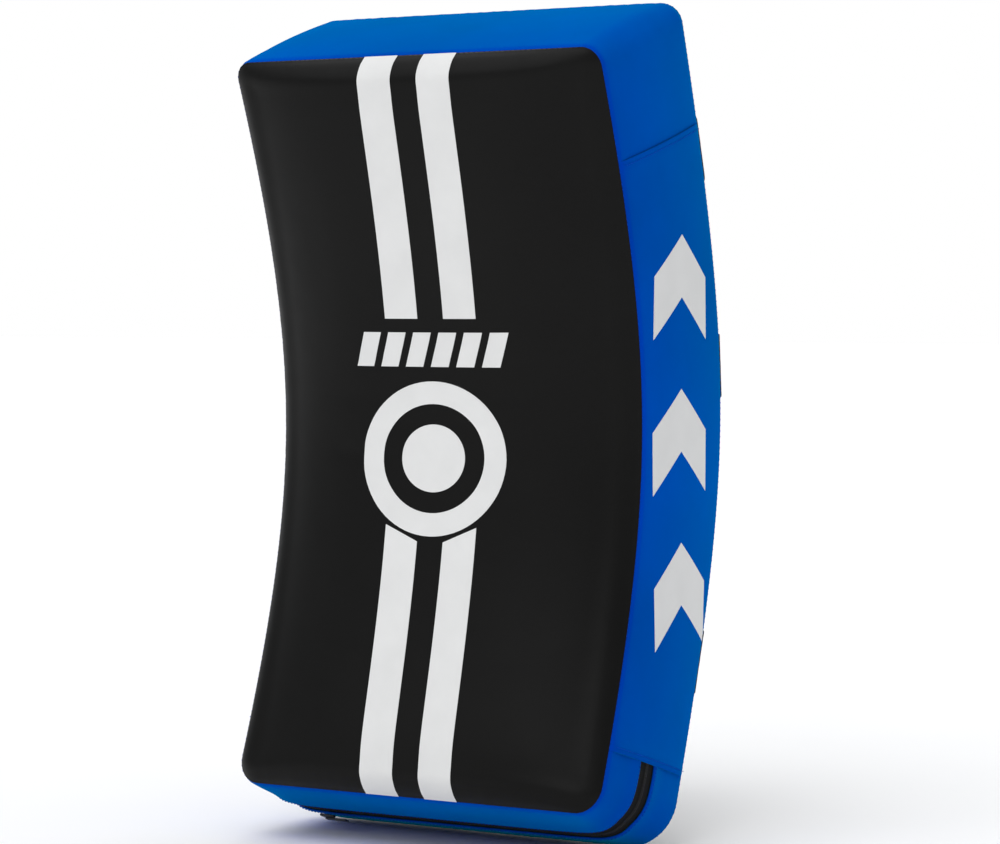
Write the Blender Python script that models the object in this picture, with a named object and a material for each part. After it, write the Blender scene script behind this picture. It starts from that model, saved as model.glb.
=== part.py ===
"""Curved kick shield: a padded strike shield with a hollow-curved front, webbing bands, a padded grab
handle and two forearm loops behind, and a zip round its lower end.

Metres. X is the width, -Y the strike face, +Y the side of the handles, +Z up. Shapes are worked out in
the pad's own frame, whose origin is the middle of the pad, and an empty then shifts everything so that
the world origin is where the forearms go through the loops. Left is -X and right is +X.
"""

import math

import bmesh
import bpy
from mathutils import Vector

# Driving dimensions of the pad
FRONT_HEIGHT = 0.661
REAR_HEIGHT = 0.760
FRONT_WIDTH = 0.380
REAR_WIDTH = 0.384
THICKNESS = 0.153
FRONT_SAG = 0.0825
REAR_SAG = 0.0941
FRONT_CURL = 3.8
REAR_CURL = 4.44
REAR_TILT = 0.023
TOP_CORNER = 0.018
FRONT_BOTTOM_CORNER = 0.024
REAR_BOTTOM_CORNER = 0.040
EDGE_CROWN = 0.020
MIDDLE_CROWN = 0.020
TOP_SOFTNESS = 0.010
BOTTOM_SOFTNESS = 0.014
SIDE_BULGE = 0.004
END_BULGE = 0.010

# Fabrics, foams and clearances
SKIN = 0.0015
GAP = 0.0004
FOAM_INSET = 0.0062
FOAM_DROP = 0.0060
FRONT_FOAM_SHARE = 0.20
REAR_FOAM_SHARE = 0.10
WEBBING = 0.0020
BAND_LIFT = 0.0009
BAND_REACH = 0.968
PLY_GAP = 0.0003
COIL_RADIUS = 0.0013
COIL_SINK = 0.0030
ZIP_STOP = (0.0030, 0.0040, 0.0024)
ZIP_TAPE = 0.0010
LAYER_GAP = 0.014

# Seams, as fractions of the half height (v), and the zip, as fractions of the pad's depth
RIGHT_TOP_SEAM = 0.700
RIGHT_BOTTOM_SEAM = -0.826
LEFT_TOP_SEAM = 0.745
LEFT_BOTTOM_SEAM = -0.795
CORNER_HEM = -0.950
ZIP_MIDDLE = 0.465
ZIP_HALF = 0.088
ZIP_SLIT = 0.004

# Webbing bands across the back: their width, and their middles as fractions of the rear half height
BAND_WIDTH = 0.058
BANDS = {"top_band": 0.6565, "middle_band": 0.1390, "bottom_band": -0.5680}

# Grab handle
HANDLE_X = 0.005
HANDLE_HALF = 0.115
HANDLE_RISE = 0.034
HANDLE_CUT = 0.099
HANDLE_DROP = 0.004
HANDLE_TAIL = 0.026
HANDLE_ON_BAND = 0.0012
SLEEVE_HEIGHT = 0.050
SLEEVE_DEPTH = 0.017
SLEEVE_WALL = 0.0016
SLEEVE_SINK = 0.0010
STRAP_HEIGHT = 0.040
STRAP_LIFT = 0.0034
CORE_HEIGHT = 0.038
CORE_SPAN = (0.0060, 0.0118)
END_HEIGHT = 0.050

# Forearm loops: how far each point of the strap stands off the back, at fractions of the half height
LOOPS = {"left": -0.102, "right": 0.096}
LOOP_WIDTH = 0.058
LOOP_ROUTE = (
    (0.024, 0.0290),
    (-0.060, 0.0500),
    (-0.145, 0.0630),
    (-0.235, 0.0670),
    (-0.330, 0.0630),
    (-0.410, 0.0480),
    (-0.455, 0.0300),
    (-0.478, 0.0130),
    (-0.484, 0.0030),
)
ROUTE_STEPS = 6
STRAP_START = 2
STRAP_END = 40
SWING_STEP = 41
FOOT_START = 42
TAIL_END = 20
TAIL_MARGIN = 0.004
PAD_START = 6
PAD_END = 34
PAD_WIDTH = 0.070
PAD_DEPTH = 0.011
PAD_GAP = 0.0006
BINDING = 0.0022
BINDING_GAP = 0.0004
BINDING_SHARE = 0.30
RING_WIRE = 0.0019
RING_WIDTH = 0.0665
RING_BEND = 0.005
RING_TOP = (0.050, 0.0062)
RING_TAB = (0.050, 0.0040, 0.0015)
RING_FOLD = (0.053, 0.0036, 0.0020)
FOLD_GAP = 0.0004

# Label and zip fittings
LABEL_X = -0.001
LABEL_LEAN = 0.0055
LABEL_WIDTH = 0.079
LABEL_SPAN = (0.2465, 0.5085)
LABEL_BAR_SPAN = (0.2545, 0.3125)
LABEL_BAR_WIDTH = 0.076
LABEL_BAR_EDGE = (0.002, 0.006)
LABEL_LIFTS = (0.0010, 0.0034)
LABEL_FRAME_LIFTS = (0.0038, 0.0046)
LABEL_INSET_LIFTS = (0.0049, 0.0056)
SLIDER_X = -0.125
SLIDER_LENGTH = 0.014
SLIDER_WIDTH = 0.009
SLIDER_LIFTS = (0.0032, 0.0010)
SLIDER_OUTLINE = ((-0.5, 0.50), (-0.2, 0.50), (0.25, 0.36), (0.5, 0.22))
PULL_SIZE = (0.022, 0.0065, 0.0016)
PULL_LIFT = 0.0047

# Where the forearms go through: the world origin, in the pad's own frame
HOLD = Vector((0.0, 0.139, -0.085))

# Grid lines over the faces, as fractions of the half width and of the half height
ACROSS = (-1, -0.97, -0.92, -0.86, -0.78, -0.6, -0.3, 0, 0.3, 0.6, 0.78, 0.86, 0.92, 0.97, 1)
UP = (-1, -0.985, CORNER_HEM, -0.92, -0.885, RIGHT_BOTTOM_SEAM, LEFT_BOTTOM_SEAM, -0.655, -0.5, -0.3,
      -0.1, 0.1, 0.3, 0.5, 0.6, RIGHT_TOP_SEAM, LEFT_TOP_SEAM, 0.83, 0.9, 0.93, 0.96, 0.985, 1)
FOAM_ACROSS = (-1, -0.95, -0.88, -0.78, -0.4, 0, 0.4, 0.78, 0.88, 0.95, 1)
FOAM_UP = (-1, -0.97, -0.93, -0.86, -0.72, -0.5, -0.25, 0, 0.25, 0.5, 0.72, 0.86, 0.93, 0.97, 1)
DEPTHS = (0.16, 0.34, 0.5, 0.66, 0.84)

BLACK_LEATHER = ("black_leather", (0.011, 0.011, 0.011), 0.5, 0.0)
BLUE_LEATHER = ("blue_leather", (0.004, 0.075, 0.60), 0.45, 0.0)
BLACK_WEBBING = ("black_webbing", (0.008, 0.008, 0.007), 0.85, 0.0)
FOAM = ("foam", (0.55, 0.55, 0.52), 0.9, 0.0)
BLACK_METAL = ("black_metal", (0.02, 0.02, 0.02), 0.25, 1.0)
DARK_NICKEL = ("dark_nickel", (0.25, 0.25, 0.26), 0.2, 1.0)
PAD_FABRIC = ("pad_fabric", (0.015, 0.015, 0.015), 0.7, 0.0)
BLACK_TAPE = ("zip_tape", (0.012, 0.012, 0.012), 0.7, 0.0)
RUBBER = ("rubber", (0.02, 0.02, 0.02), 0.5, 0.0)
SILVER = ("silver_edge", (0.6, 0.6, 0.62), 0.3, 0.8)
BLUE_FOIL = ("blue_foil", (0.03, 0.13, 0.45), 0.3, 0.3)


def clear_scene():
    for old in list(bpy.data.objects):
        bpy.data.objects.remove(old, do_unlink=True)


def material(name, colour, roughness, metallic):
    found = bpy.data.materials.get(name)
    if found:
        return found
    made = bpy.data.materials.new(name)
    made.use_nodes = True
    shader = made.node_tree.nodes["Principled BSDF"]
    shader.inputs["Base Color"].default_value = (*colour, 1)
    shader.inputs["Roughness"].default_value = roughness
    shader.inputs["Metallic"].default_value = metallic
    return made


def empty_at(name, place, parent=None):
    empty = bpy.data.objects.new(name, None)
    empty.empty_display_size = 0.03
    empty.location = place
    empty.parent = parent
    bpy.context.scene.collection.objects.link(empty)
    return empty


def solid(name, points, faces, look, holder):
    """One closed body. The points are in the pad's frame, and the holder's own place there is taken off."""
    origin = holder.get("pad_place", (0, 0, 0))
    mesh = bpy.data.meshes.new(name)
    mesh.from_pydata([Vector(p) - Vector(origin) for p in points], [], faces)
    work = bmesh.new()
    work.from_mesh(mesh)
    bmesh.ops.recalc_face_normals(work, faces=work.faces)
    work.to_mesh(mesh)
    work.free()
    mesh.shade_smooth()
    mesh.set_sharp_from_angle(angle=math.radians(40))
    mesh.materials.append(material(*look))
    obj = bpy.data.objects.new(name, mesh)
    obj.parent = holder
    bpy.context.scene.collection.objects.link(obj)
    return obj


def slab(name, outer, inner, look, holder, ring=False):
    """A closed solid between two grids of points. With ring, the columns close on themselves."""
    rows, columns = len(outer), len(outer[0])
    points = [p for grid in (outer, inner) for row in grid for p in row]
    half = rows * columns
    spans = columns if ring else columns - 1
    faces = []
    for i in range(rows - 1):
        for j in range(spans):
            k = (j + 1) % columns
            a, b, c, d = i * columns + j, i * columns + k, (i + 1) * columns + k, (i + 1) * columns + j
            faces.append((a, b, c, d))
            faces.append((half + d, half + c, half + b, half + a))
    for j in range(spans):
        k = (j + 1) % columns
        low, high = 0, (rows - 1) * columns
        faces.append((low + k, low + j, half + low + j, half + low + k))
        faces.append((high + j, high + k, half + high + k, half + high + j))
    if not ring:
        for i in range(rows - 1):
            for j, turn in ((0, 1), (columns - 1, -1)):
                a, b = i * columns + j, (i + 1) * columns + j
                faces.append((a, b, half + b, half + a)[::turn])
    return solid(name, points, faces, look, holder)


# The pad's surfaces. side is -1 for the strike face and 1 for the back; u runs across and v up, both -1 to 1.


def sizes(side):
    if side < 0:
        return FRONT_WIDTH / 2, FRONT_HEIGHT / 2, FRONT_SAG, FRONT_CURL
    return REAR_WIDTH / 2, REAR_HEIGHT / 2, REAR_SAG, REAR_CURL


def seam_y(side, z):
    _, half, sag, curl = sizes(side)
    share = (math.hypot(1, curl * z) - 1) / (math.hypot(1, curl * half) - 1)
    tilt = REAR_TILT * z if side > 0 else 0.0
    return side * THICKNESS / 2 - sag * share + tilt


def outward(side, z):
    """The direction square to the face's seam curve, in the YZ plane."""
    step = 1e-4
    slope = (seam_y(side, z + step) - seam_y(side, z - step)) / (2 * step)
    return Vector((0, side, -side * slope)).normalized()


def seam_point(side, u, v, inset=0.0):
    """A point of the flat outline, with its corners rounded, at the height of the seam."""
    half_width, half_height, _, _ = sizes(side)
    half_width, half_height = half_width - inset, half_height - inset
    low_corner = FRONT_BOTTOM_CORNER if side < 0 else REAR_BOTTOM_CORNER
    corner = TOP_CORNER if v > 0 else low_corner
    x, z = u * half_width, v * half_height
    over_x = (abs(x) - (half_width - corner)) / corner
    over_z = (abs(z) - (half_height - corner)) / corner
    if over_x > 0 and over_z > 0:
        x = math.copysign(half_width - corner + corner * over_x * math.sqrt(1 - over_z**2 / 2), u)
        z = math.copysign(half_height - corner + corner * over_z * math.sqrt(1 - over_x**2 / 2), v)
    return Vector((x, seam_y(side, z), z))


def crown(u, v, side):
    _, half, _, _ = sizes(side)
    softness = TOP_SOFTNESS if v > 0 else BOTTOM_SOFTNESS
    from_end = half * (1 - abs(v)) * 1.1
    rise = EDGE_CROWN * (1 - math.exp(-from_end / softness)) + MIDDLE_CROWN * (1 - v * v)
    return rise * (1 - abs(u) ** 4)


def face_point(side, u, v):
    base = seam_point(side, u, v)
    return base + outward(side, base.z) * crown(u, v, side)


def face_normal(side, u, v):
    step = 2e-3
    across = face_point(side, min(u + step, 1), v) - face_point(side, max(u - step, -1), v)
    upward = face_point(side, u, min(v + step, 1)) - face_point(side, u, max(v - step, -1))
    normal = across.cross(upward).normalized()
    return normal if normal.y * side > 0 else -normal


def off_face(side, u, v, lift):
    return face_point(side, u, v) + face_normal(side, u, v) * lift


def back_point(x, v, lift):
    """A point lift off the back, straight out in the YZ plane, at x."""
    u = x / (REAR_WIDTH / 2)
    point = face_point(1, u, v)
    point.x = x
    return point + outward(1, v * REAR_HEIGHT / 2) * lift


def gusset_point(u, v, depth):
    """A point of the band between the faces' outlines. depth is 0 at the strike face and 1 at the back."""
    front, rear = seam_point(-1, u, v), seam_point(1, u, v)
    out = gusset_normal(u, v)
    bulge = END_BULGE * (1 - u**8) if abs(v) == 1 else SIDE_BULGE * (1 - v**8)
    return front.lerp(rear, depth) + out * bulge * 4 * depth * (1 - depth)


def gusset_normal(u, v):
    step = 1e-3
    if abs(u) == 1 and abs(v) == 1:
        a, b = seam_point(1, u * (1 - step), v), seam_point(1, u, v * (1 - step))
    elif abs(u) == 1:
        a, b = seam_point(1, u, v - step), seam_point(1, u, v + step)
    else:
        a, b = seam_point(1, u - step, v), seam_point(1, u + step, v)
    depth_way = seam_point(1, u, v) - seam_point(-1, u, v)
    normal = (b - a).cross(depth_way).normalized()
    return normal if normal.dot(Vector((u, 0, v * 1.5))) > 0 else -normal


def mitre(side, u, v):
    """From an outline point, the way to the inner corner where a face's skin meets the gusset's."""
    inward = (face_point(side, u * 0.985, v * 0.99) - face_point(side, u, v)).normalized()
    along = (gusset_point(u, v, 0.5 + side * 0.40) - gusset_point(u, v, 0.5 + side * 0.5)).normalized()
    middle = (inward + along).normalized()
    half_angle = max(inward.angle(along) / 2, math.radians(30))
    return middle * SKIN / math.sin(half_angle), along


# Sub-parts of the pad


def make_cover(name, side, holder):
    outer, inner = [], []
    for v in UP:
        outer.append([face_point(side, u, v) for u in ACROSS])
        row = []
        for u in ACROSS:
            if abs(u) == 1 or abs(v) == 1:
                row.append(face_point(side, u, v) + mitre(side, u, v)[0])
            else:
                row.append(off_face(side, u, v, -SKIN))
        inner.append(row)
    slab(name, outer, inner, BLACK_LEATHER, holder)


def outline_between(start, end):
    """Outline points, anticlockwise seen from the strike side, from one (u, v) to another."""
    loop = [(1, v) for v in UP]
    loop += [(u, 1) for u in reversed(ACROSS[:-1])]
    loop += [(-1, v) for v in reversed(UP[:-1])]
    loop += [(u, -1) for u in ACROSS[1:-1]]
    first, last = loop.index(start), loop.index(end)
    return loop[first : last + 1] if first < last else loop[first:] + loop[: last + 1]


def gusset_panel(name, start, end, low, high, look, holder, skin=SKIN, trim=GAP):
    """A strip of the gusset between two outline points and two depths, with a small gap at each edge."""
    stations = outline_between(start, end)
    depths = [d for d in DEPTHS if low + 0.03 < d < high - 0.03]
    outer, inner = [], []
    for index, (u, v) in enumerate(stations):
        length = (seam_point(1, u, v) - seam_point(-1, u, v)).length
        shift = Vector()
        if index in (0, len(stations) - 1):
            other = stations[1 if index == 0 else -2]
            shift = (gusset_point(*other, 0.5) - gusset_point(u, v, 0.5)).normalized() * trim
        normal = gusset_normal(u, v)
        top, under = [], []
        for depth in (low, *depths, high):
            edge = {low: 1, high: -1}.get(depth, 0)
            if edge and depth in (0, 1):
                lean, along = mitre(-edge, u, v)
                point = gusset_point(u, v, depth) + along * trim
                top.append(point + shift)
                under.append(point + lean + shift)
                continue
            point = gusset_point(u, v, depth + edge * trim / length)
            top.append(point + shift)
            under.append(point + shift - normal * skin)
        outer.append(top)
        inner.append(under)
    slab(name, outer, inner, look, holder)


def make_gusset(holder):
    right_low, right_high = (1, RIGHT_BOTTOM_SEAM), (1, RIGHT_TOP_SEAM)
    left_low, left_high = (-1, LEFT_BOTTOM_SEAM), (-1, LEFT_TOP_SEAM)
    hem = (-1, CORNER_HEM)
    gusset_panel("right_side_panel", right_low, right_high, 0, 1, BLUE_LEATHER, holder)
    gusset_panel("top_end_panel", right_high, left_high, 0, 1, BLUE_LEATHER, holder)
    gusset_panel("left_side_panel", left_high, left_low, 0, 1, BLUE_LEATHER, holder)
    gusset_panel("left_corner_panel", left_low, hem, 0, 1, BLUE_LEATHER, holder)
    zip_low, zip_high = ZIP_MIDDLE - ZIP_HALF, ZIP_MIDDLE + ZIP_HALF
    gusset_panel("bottom_front_strip", hem, right_low, 0, zip_low, BLUE_LEATHER, holder)
    gusset_panel("bottom_rear_strip", hem, right_low, zip_high, 1, BLUE_LEATHER, holder)
    slit_low, slit_high = ZIP_MIDDLE - ZIP_SLIT, ZIP_MIDDLE + ZIP_SLIT
    gusset_panel("zip_tape_front", hem, right_low, zip_low, slit_low, BLACK_TAPE, holder, ZIP_TAPE)
    gusset_panel("zip_tape_rear", hem, right_low, slit_high, zip_high, BLACK_TAPE, holder, ZIP_TAPE)
    make_coil(hem, right_low, holder)


def make_coil(start, end, holder):
    """The zip's coil, as one round core behind the slit, with a metal stop at each end."""
    sides = 6
    stations = outline_between(start, end)
    centres = [(gusset_point(u, v, 0.5) - gusset_normal(u, v) * COIL_SINK) for u, v in stations]
    depth_ways = [(seam_point(1, u, v) - seam_point(-1, u, v)).normalized() for u, v in stations]
    normals = [gusset_normal(u, v) for u, v in stations]
    rings = []
    for index in range(1, len(stations) - 1):
        ring = []
        for k in range(sides):
            turn = math.tau * k / sides
            across = depth_ways[index] * math.cos(turn) + normals[index] * math.sin(turn)
            ring.append(centres[index] + across * COIL_RADIUS)
        rings.append(ring)
    tube("zip_coil", rings, BLACK_TAPE, holder)
    for name, near, beyond in (("zip_stop_left", 1, 0), ("zip_stop_right", -2, -1)):
        way = (centres[beyond] - centres[near]).normalized()
        middle = centres[near] + way * (ZIP_STOP[0] / 2 + 0.0007)
        block(name, middle, way, depth_ways[near], ZIP_STOP, BLACK_METAL, holder)


def tube(name, rings, look, holder, closed=False):
    """A round bar through rings of points, capped, or joined end to end when closed."""
    sides, count = len(rings[0]), len(rings)
    points = [p for ring in rings for p in ring]
    faces = []
    for i in range(count if closed else count - 1):
        n = (i + 1) % count
        for j in range(sides):
            k = (j + 1) % sides
            faces.append((i * sides + j, i * sides + k, n * sides + k, n * sides + j))
    if not closed:
        faces.append(tuple(range(sides)))
        faces.append(tuple((count - 1) * sides + j for j in range(sides)))
    return solid(name, points, faces, look, holder)


def block(name, middle, long_way, wide_way, size, look, holder):
    """A box with its sizes along three directions: long_way, wide_way and the one square to both."""
    high_way = long_way.cross(wide_way).normalized()
    wide_way = high_way.cross(long_way).normalized()
    length, width, height = (s / 2 for s in size)
    grids = []
    for h in (height, -height):
        grids.append([[middle + long_way * a * length + wide_way * b * width + high_way * h
                       for b in (-1, 1)] for a in (-1, 1)])
    return slab(name, grids[0], grids[1], look, holder)


def make_foams(holder):
    """Three layers that fill the cover: a firm strike sheet, the core and a thin sheet behind."""
    def filling(u, v, share):
        ends = []
        for side in (-1, 1):
            base = seam_point(side, u, v, FOAM_INSET)
            rise = max(crown(u, v, side) - FOAM_DROP, -0.002)
            ends.append(base + outward(side, base.z) * rise)
        return ends[0].lerp(ends[1], share)

    layers = (
        ("front_impact_foam", 0.0, FRONT_FOAM_SHARE),
        ("core_foam", FRONT_FOAM_SHARE + LAYER_GAP, 1 - REAR_FOAM_SHARE - LAYER_GAP),
        ("rear_foam_sheet", 1 - REAR_FOAM_SHARE, 1.0),
    )
    for name, low, high in layers:
        low, high = max(low, 0.02), min(high, 0.98)
        grids = [[[filling(u, v, share) for u in FOAM_ACROSS] for v in FOAM_UP] for share in (low, high)]
        slab(name, grids[0], grids[1], FOAM, holder)


def band_level(u, middle, share):
    """The v of a band's point, share of its width from its middle line, so that the width is true."""
    step = 1e-3
    per_v = (face_point(1, u, middle + step) - face_point(1, u, middle - step)).length / (2 * step)
    return middle + share * BAND_WIDTH / per_v


def make_bands(holder):
    across = [u * BAND_REACH for u in ACROSS]
    for name, middle in BANDS.items():
        grids = []
        for lift in (BAND_LIFT + WEBBING, BAND_LIFT):
            rows = []
            for share in (-0.5, 0, 0.5):
                rows.append([off_face(1, u, band_level(u, middle, share), lift) for u in across])
            grids.append(rows)
        slab(name, grids[0], grids[1], BLACK_WEBBING, holder)


def make_label(holder):
    def plate(name, width, span, lifts, look):
        across = [LABEL_X + width * s for s in (-0.5, -0.17, 0.17, 0.5)]
        steps = 4 if span[1] - span[0] > 0.1 else 1
        levels = [span[0] + (span[1] - span[0]) * k / steps for k in range(steps + 1)]
        middle = (LABEL_SPAN[0] + LABEL_SPAN[1]) / 2
        grids = []
        for lift in reversed(lifts):
            rows = []
            for v in levels:
                lean = LABEL_LEAN * (v - middle) / (LABEL_SPAN[1] - LABEL_SPAN[0])
                rows.append([back_point(x + lean, v, lift) for x in across])
            grids.append(rows)
        slab(name, grids[0], grids[1], look, holder)

    plate("label_patch", LABEL_WIDTH, LABEL_SPAN, LABEL_LIFTS, RUBBER)
    plate("label_bar_frame", LABEL_BAR_WIDTH, LABEL_BAR_SPAN, LABEL_FRAME_LIFTS, SILVER)
    side_edge, end_edge = LABEL_BAR_EDGE
    inner_span = (LABEL_BAR_SPAN[0] + end_edge, LABEL_BAR_SPAN[1] - end_edge)
    plate("label_bar_inset", LABEL_BAR_WIDTH - 2 * side_edge, inner_span, LABEL_INSET_LIFTS, BLUE_FOIL)


# Grab handle


def handle_rise(x):
    share = abs(x - HANDLE_X) / HANDLE_HALF
    return HANDLE_RISE * (1 - min(share, 1) ** 3.4)


def handle_frame(x, lift):
    """A point on the handle's route and the way out of the back there."""
    middle = BANDS["top_band"]
    on_band = BAND_LIFT + WEBBING + HANDLE_ON_BAND
    step = 1e-3
    here = back_point(x, middle, on_band + handle_rise(x))
    ahead = back_point(x + step, middle, on_band + handle_rise(x + step))
    along = (ahead - here).normalized()
    upward = Vector((1, 0, 0)).cross(outward(1, middle * REAR_HEIGHT / 2)).normalized()
    upward = upward if upward.z > 0 else -upward
    out = upward.cross(along).normalized()
    out = out if out.y > 0 else -out
    drop = upward * HANDLE_DROP * handle_rise(x) / HANDLE_RISE
    return here + out * lift - drop, upward


def handle_ribbon(name, xs, height, low, high, look, holder):
    grids = []
    for lift in (high, low):
        rows = []
        for x in xs:
            point, upward = handle_frame(x, lift)
            rows.append([point + upward * height * s for s in (-0.5, 0.5)])
        grids.append(rows)
    slab(name, grids[0], grids[1], look, holder)


def make_handle(holder, mover):
    cut = HANDLE_CUT
    end_run = [cut + s for s in (0.004, 0.006, 0.008, 0.011, 0.014, 0.017, 0.030)]
    end_run.append(HANDLE_HALF + HANDLE_TAIL)
    for name, sign in (("grab_handle_end_left", -1), ("grab_handle_end_right", 1)):
        end_xs = [HANDLE_X + sign * s for s in end_run]
        handle_ribbon(name, end_xs, END_HEIGHT, 0.0, WEBBING, BLACK_WEBBING, holder)
    half_run = (0.25, 0.5, 0.74, 0.86, 0.94, 1)
    xs = [HANDLE_X + s * cut for s in (*(-share for share in half_run[::-1]), 0, *half_run)]
    strap_top = STRAP_LIFT + WEBBING
    handle_ribbon("grab_handle_strap", xs, STRAP_HEIGHT, STRAP_LIFT, strap_top, BLACK_WEBBING, mover)
    handle_ribbon("grab_handle_core", xs[1:-1], CORE_HEIGHT, *CORE_SPAN, FOAM, mover)
    sides = 16
    skins = []
    for inset in (0, SLEEVE_WALL):
        rows = []
        for x in xs[1:-1]:
            row = []
            for k in range(sides):
                turn = math.tau * k / sides
                tall = math.copysign(abs(math.sin(turn)) ** 0.55, math.sin(turn))
                deep = math.copysign(abs(math.cos(turn)) ** 0.75, math.cos(turn))
                lift = SLEEVE_DEPTH / 2 - SLEEVE_SINK + deep * (SLEEVE_DEPTH / 2 - inset)
                point, upward = handle_frame(x, lift)
                row.append(point + upward * tall * (SLEEVE_HEIGHT / 2 - inset))
            rows.append(row)
        skins.append(rows)
    slab("grab_handle_sleeve", skins[0], skins[1], BLACK_WEBBING, mover, ring=True)


# Forearm loops


def curve_through(points, steps):
    """A smooth curve through points, steps to each span (Catmull-Rom)."""
    made = []
    for i in range(len(points) - 1):
        before = points[max(i - 1, 0)]
        a, b = points[i], points[i + 1]
        after = points[min(i + 2, len(points) - 1)]
        for k in range(steps):
            t = k / steps
            made.append(0.5 * ((2 * a) + (b - before) * t + (2 * before - 5 * a + 4 * b - after) * t**2
                               + (3 * a - before - 3 * b + after) * t**3))
    return made + [points[-1]]


def loop_route(x):
    """Points along the strap's middle, each with the way out, away from the back."""
    points = [back_point(x, v, lift) for v, lift in LOOP_ROUTE]
    points = curve_through(points, ROUTE_STEPS)
    frames = []
    for i, point in enumerate(points):
        along = (points[min(i + 1, len(points) - 1)] - points[max(i - 1, 0)]).normalized()
        out = Vector((1, 0, 0)).cross(along).normalized()
        frames.append((point, out))
    return frames


def ribbon(name, frames, width, low, holder):
    """One ply of webbing along the frames, its underside at low."""
    edge = Vector((width / 2, 0, 0))
    grids = []
    for lift in (low + WEBBING, low):
        grids.append([[point + out * lift + edge * sign for sign in (-1, 1)] for point, out in frames])
    return slab(name, grids[0], grids[1], BLACK_WEBBING, holder)


def hoop(name, centre, legs, width, near, ply, holder):
    """Webbing folded round a bar: a half turn of inner radius near, with two straight legs."""
    across = Vector((1, 0, 0))
    side = across.cross(legs).normalized()
    steps = 6
    rings = []
    for x in (-width / 2, width / 2):
        outline = []
        for radius, turns in ((near + ply, range(steps + 1)), (near, range(steps, -1, -1))):
            arc = [centre + side * math.cos(math.pi * k / steps) * radius
                   - legs.normalized() * math.sin(math.pi * k / steps) * radius for k in turns]
            first = arc[0] + legs
            last = arc[-1] + legs
            outline += [first, *arc, last]
        rings.append([p + across * x for p in outline])
    points = rings[0] + rings[1]
    count = len(rings[0])
    half = count // 2
    faces = []
    for i in range(count):
        j = (i + 1) % count
        faces.append((i, j, count + j, count + i))
    for i in range(half - 1):
        a, b = i, i + 1
        c, d = count - 2 - i, count - 1 - i
        faces.append((a, b, c, d))
        faces.append((count + d, count + c, count + b, count + a))
    return solid(name, points, faces, BLACK_WEBBING, holder)


def ring_points(top, bottom, radius, sides=8):
    """A rectangular wire ring between the middles of its two long bars, as rings of points."""
    across = Vector((1, 0, 0))
    down = (bottom - top).normalized()
    out = across.cross(down).normalized()
    reach = RING_WIDTH / 2 - radius
    corners = ((-1, RING_BEND, 180), (1, RING_BEND, 270), (1, (bottom - top).length - RING_BEND, 0),
               (-1, (bottom - top).length - RING_BEND, 90))
    rings = []
    for sign, level, begin in corners:
        centre = top + across * sign * reach + down * level
        for k in range(4):
            turn = math.radians(begin + 30 * k)
            way = across * math.cos(turn) + down * math.sin(turn)
            wire = centre + way * RING_BEND
            ring = []
            for j in range(sides):
                round_way = way * math.cos(math.tau * j / sides) + out * math.sin(math.tau * j / sides)
                ring.append(wire + round_way * radius)
            rings.append(ring)
    return rings


def make_loop(side, x, holder, swing, swivel):
    frames = loop_route(x)
    top_bar = back_point(x, *RING_TOP)
    low_bar, _ = frames[0]
    tube(f"{side}_ring", ring_points(top_bar, low_bar, RING_WIRE), DARK_NICKEL, swivel, closed=True)
    inner_radius = RING_WIRE + FOLD_GAP
    width, legs, ply = RING_TAB
    up_face = (back_point(x, RING_TOP[0] + 0.01, RING_TOP[1] - 0.0016) - top_bar).normalized()
    hoop(f"{side}_ring_tab", top_bar, up_face * legs, width, inner_radius, ply, holder)
    width, legs, ply = RING_FOLD
    away = (frames[3][0] - low_bar).normalized()
    hoop(f"{side}_ring_fold", low_bar, away * legs, width, inner_radius, ply, swivel)
    ribbon(f"{side}_forearm_strap", frames[STRAP_START:STRAP_END], LOOP_WIDTH, PLY_GAP, swing)
    tail_width = LOOP_WIDTH - TAIL_MARGIN
    ribbon(f"{side}_strap_tail", frames[STRAP_START:TAIL_END], tail_width, -PLY_GAP - WEBBING, swing)
    ribbon(f"{side}_strap_foot", frames[FOOT_START:], LOOP_WIDTH, PLY_GAP, holder)
    make_arm_pad(side, frames[PAD_START:PAD_END], swing)


def make_arm_pad(side, frames, swing):
    """The pad inside the loop, with a binding round its rim."""
    near = -PLY_GAP - WEBBING - PAD_GAP
    far = near - PAD_DEPTH
    width = PAD_WIDTH - 2 * (BINDING + BINDING_GAP)
    across = Vector((1, 0, 0))
    body = frames[::2][1:]

    def layer(base, other):
        """One face of the pad, whose outer columns come in a quarter of the way to the other face."""
        rows = []
        for point, out in body:
            row = []
            for share in (-0.5, -0.44, 0, 0.44, 0.5):
                lift = base + (other - base) * (0.25 if abs(share) == 0.5 else 0.0)
                row.append(point + out * lift + across * width * share)
            rows.append(row)
        return rows

    slab(f"{side}_arm_pad", layer(near, far), layer(far, near), PAD_FABRIC, swing)
    rings = []
    for point, out, way in pad_rim(body, (near + far) / 2, width):
        inner_edge = point + way * BINDING_GAP
        outer_edge = inner_edge + way * BINDING
        lift = out * PAD_DEPTH * BINDING_SHARE
        rings.append([inner_edge + lift, outer_edge + lift, outer_edge - lift, inner_edge - lift])
    tube(f"{side}_arm_pad_binding", rings, PAD_FABRIC, swing, closed=True)


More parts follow.
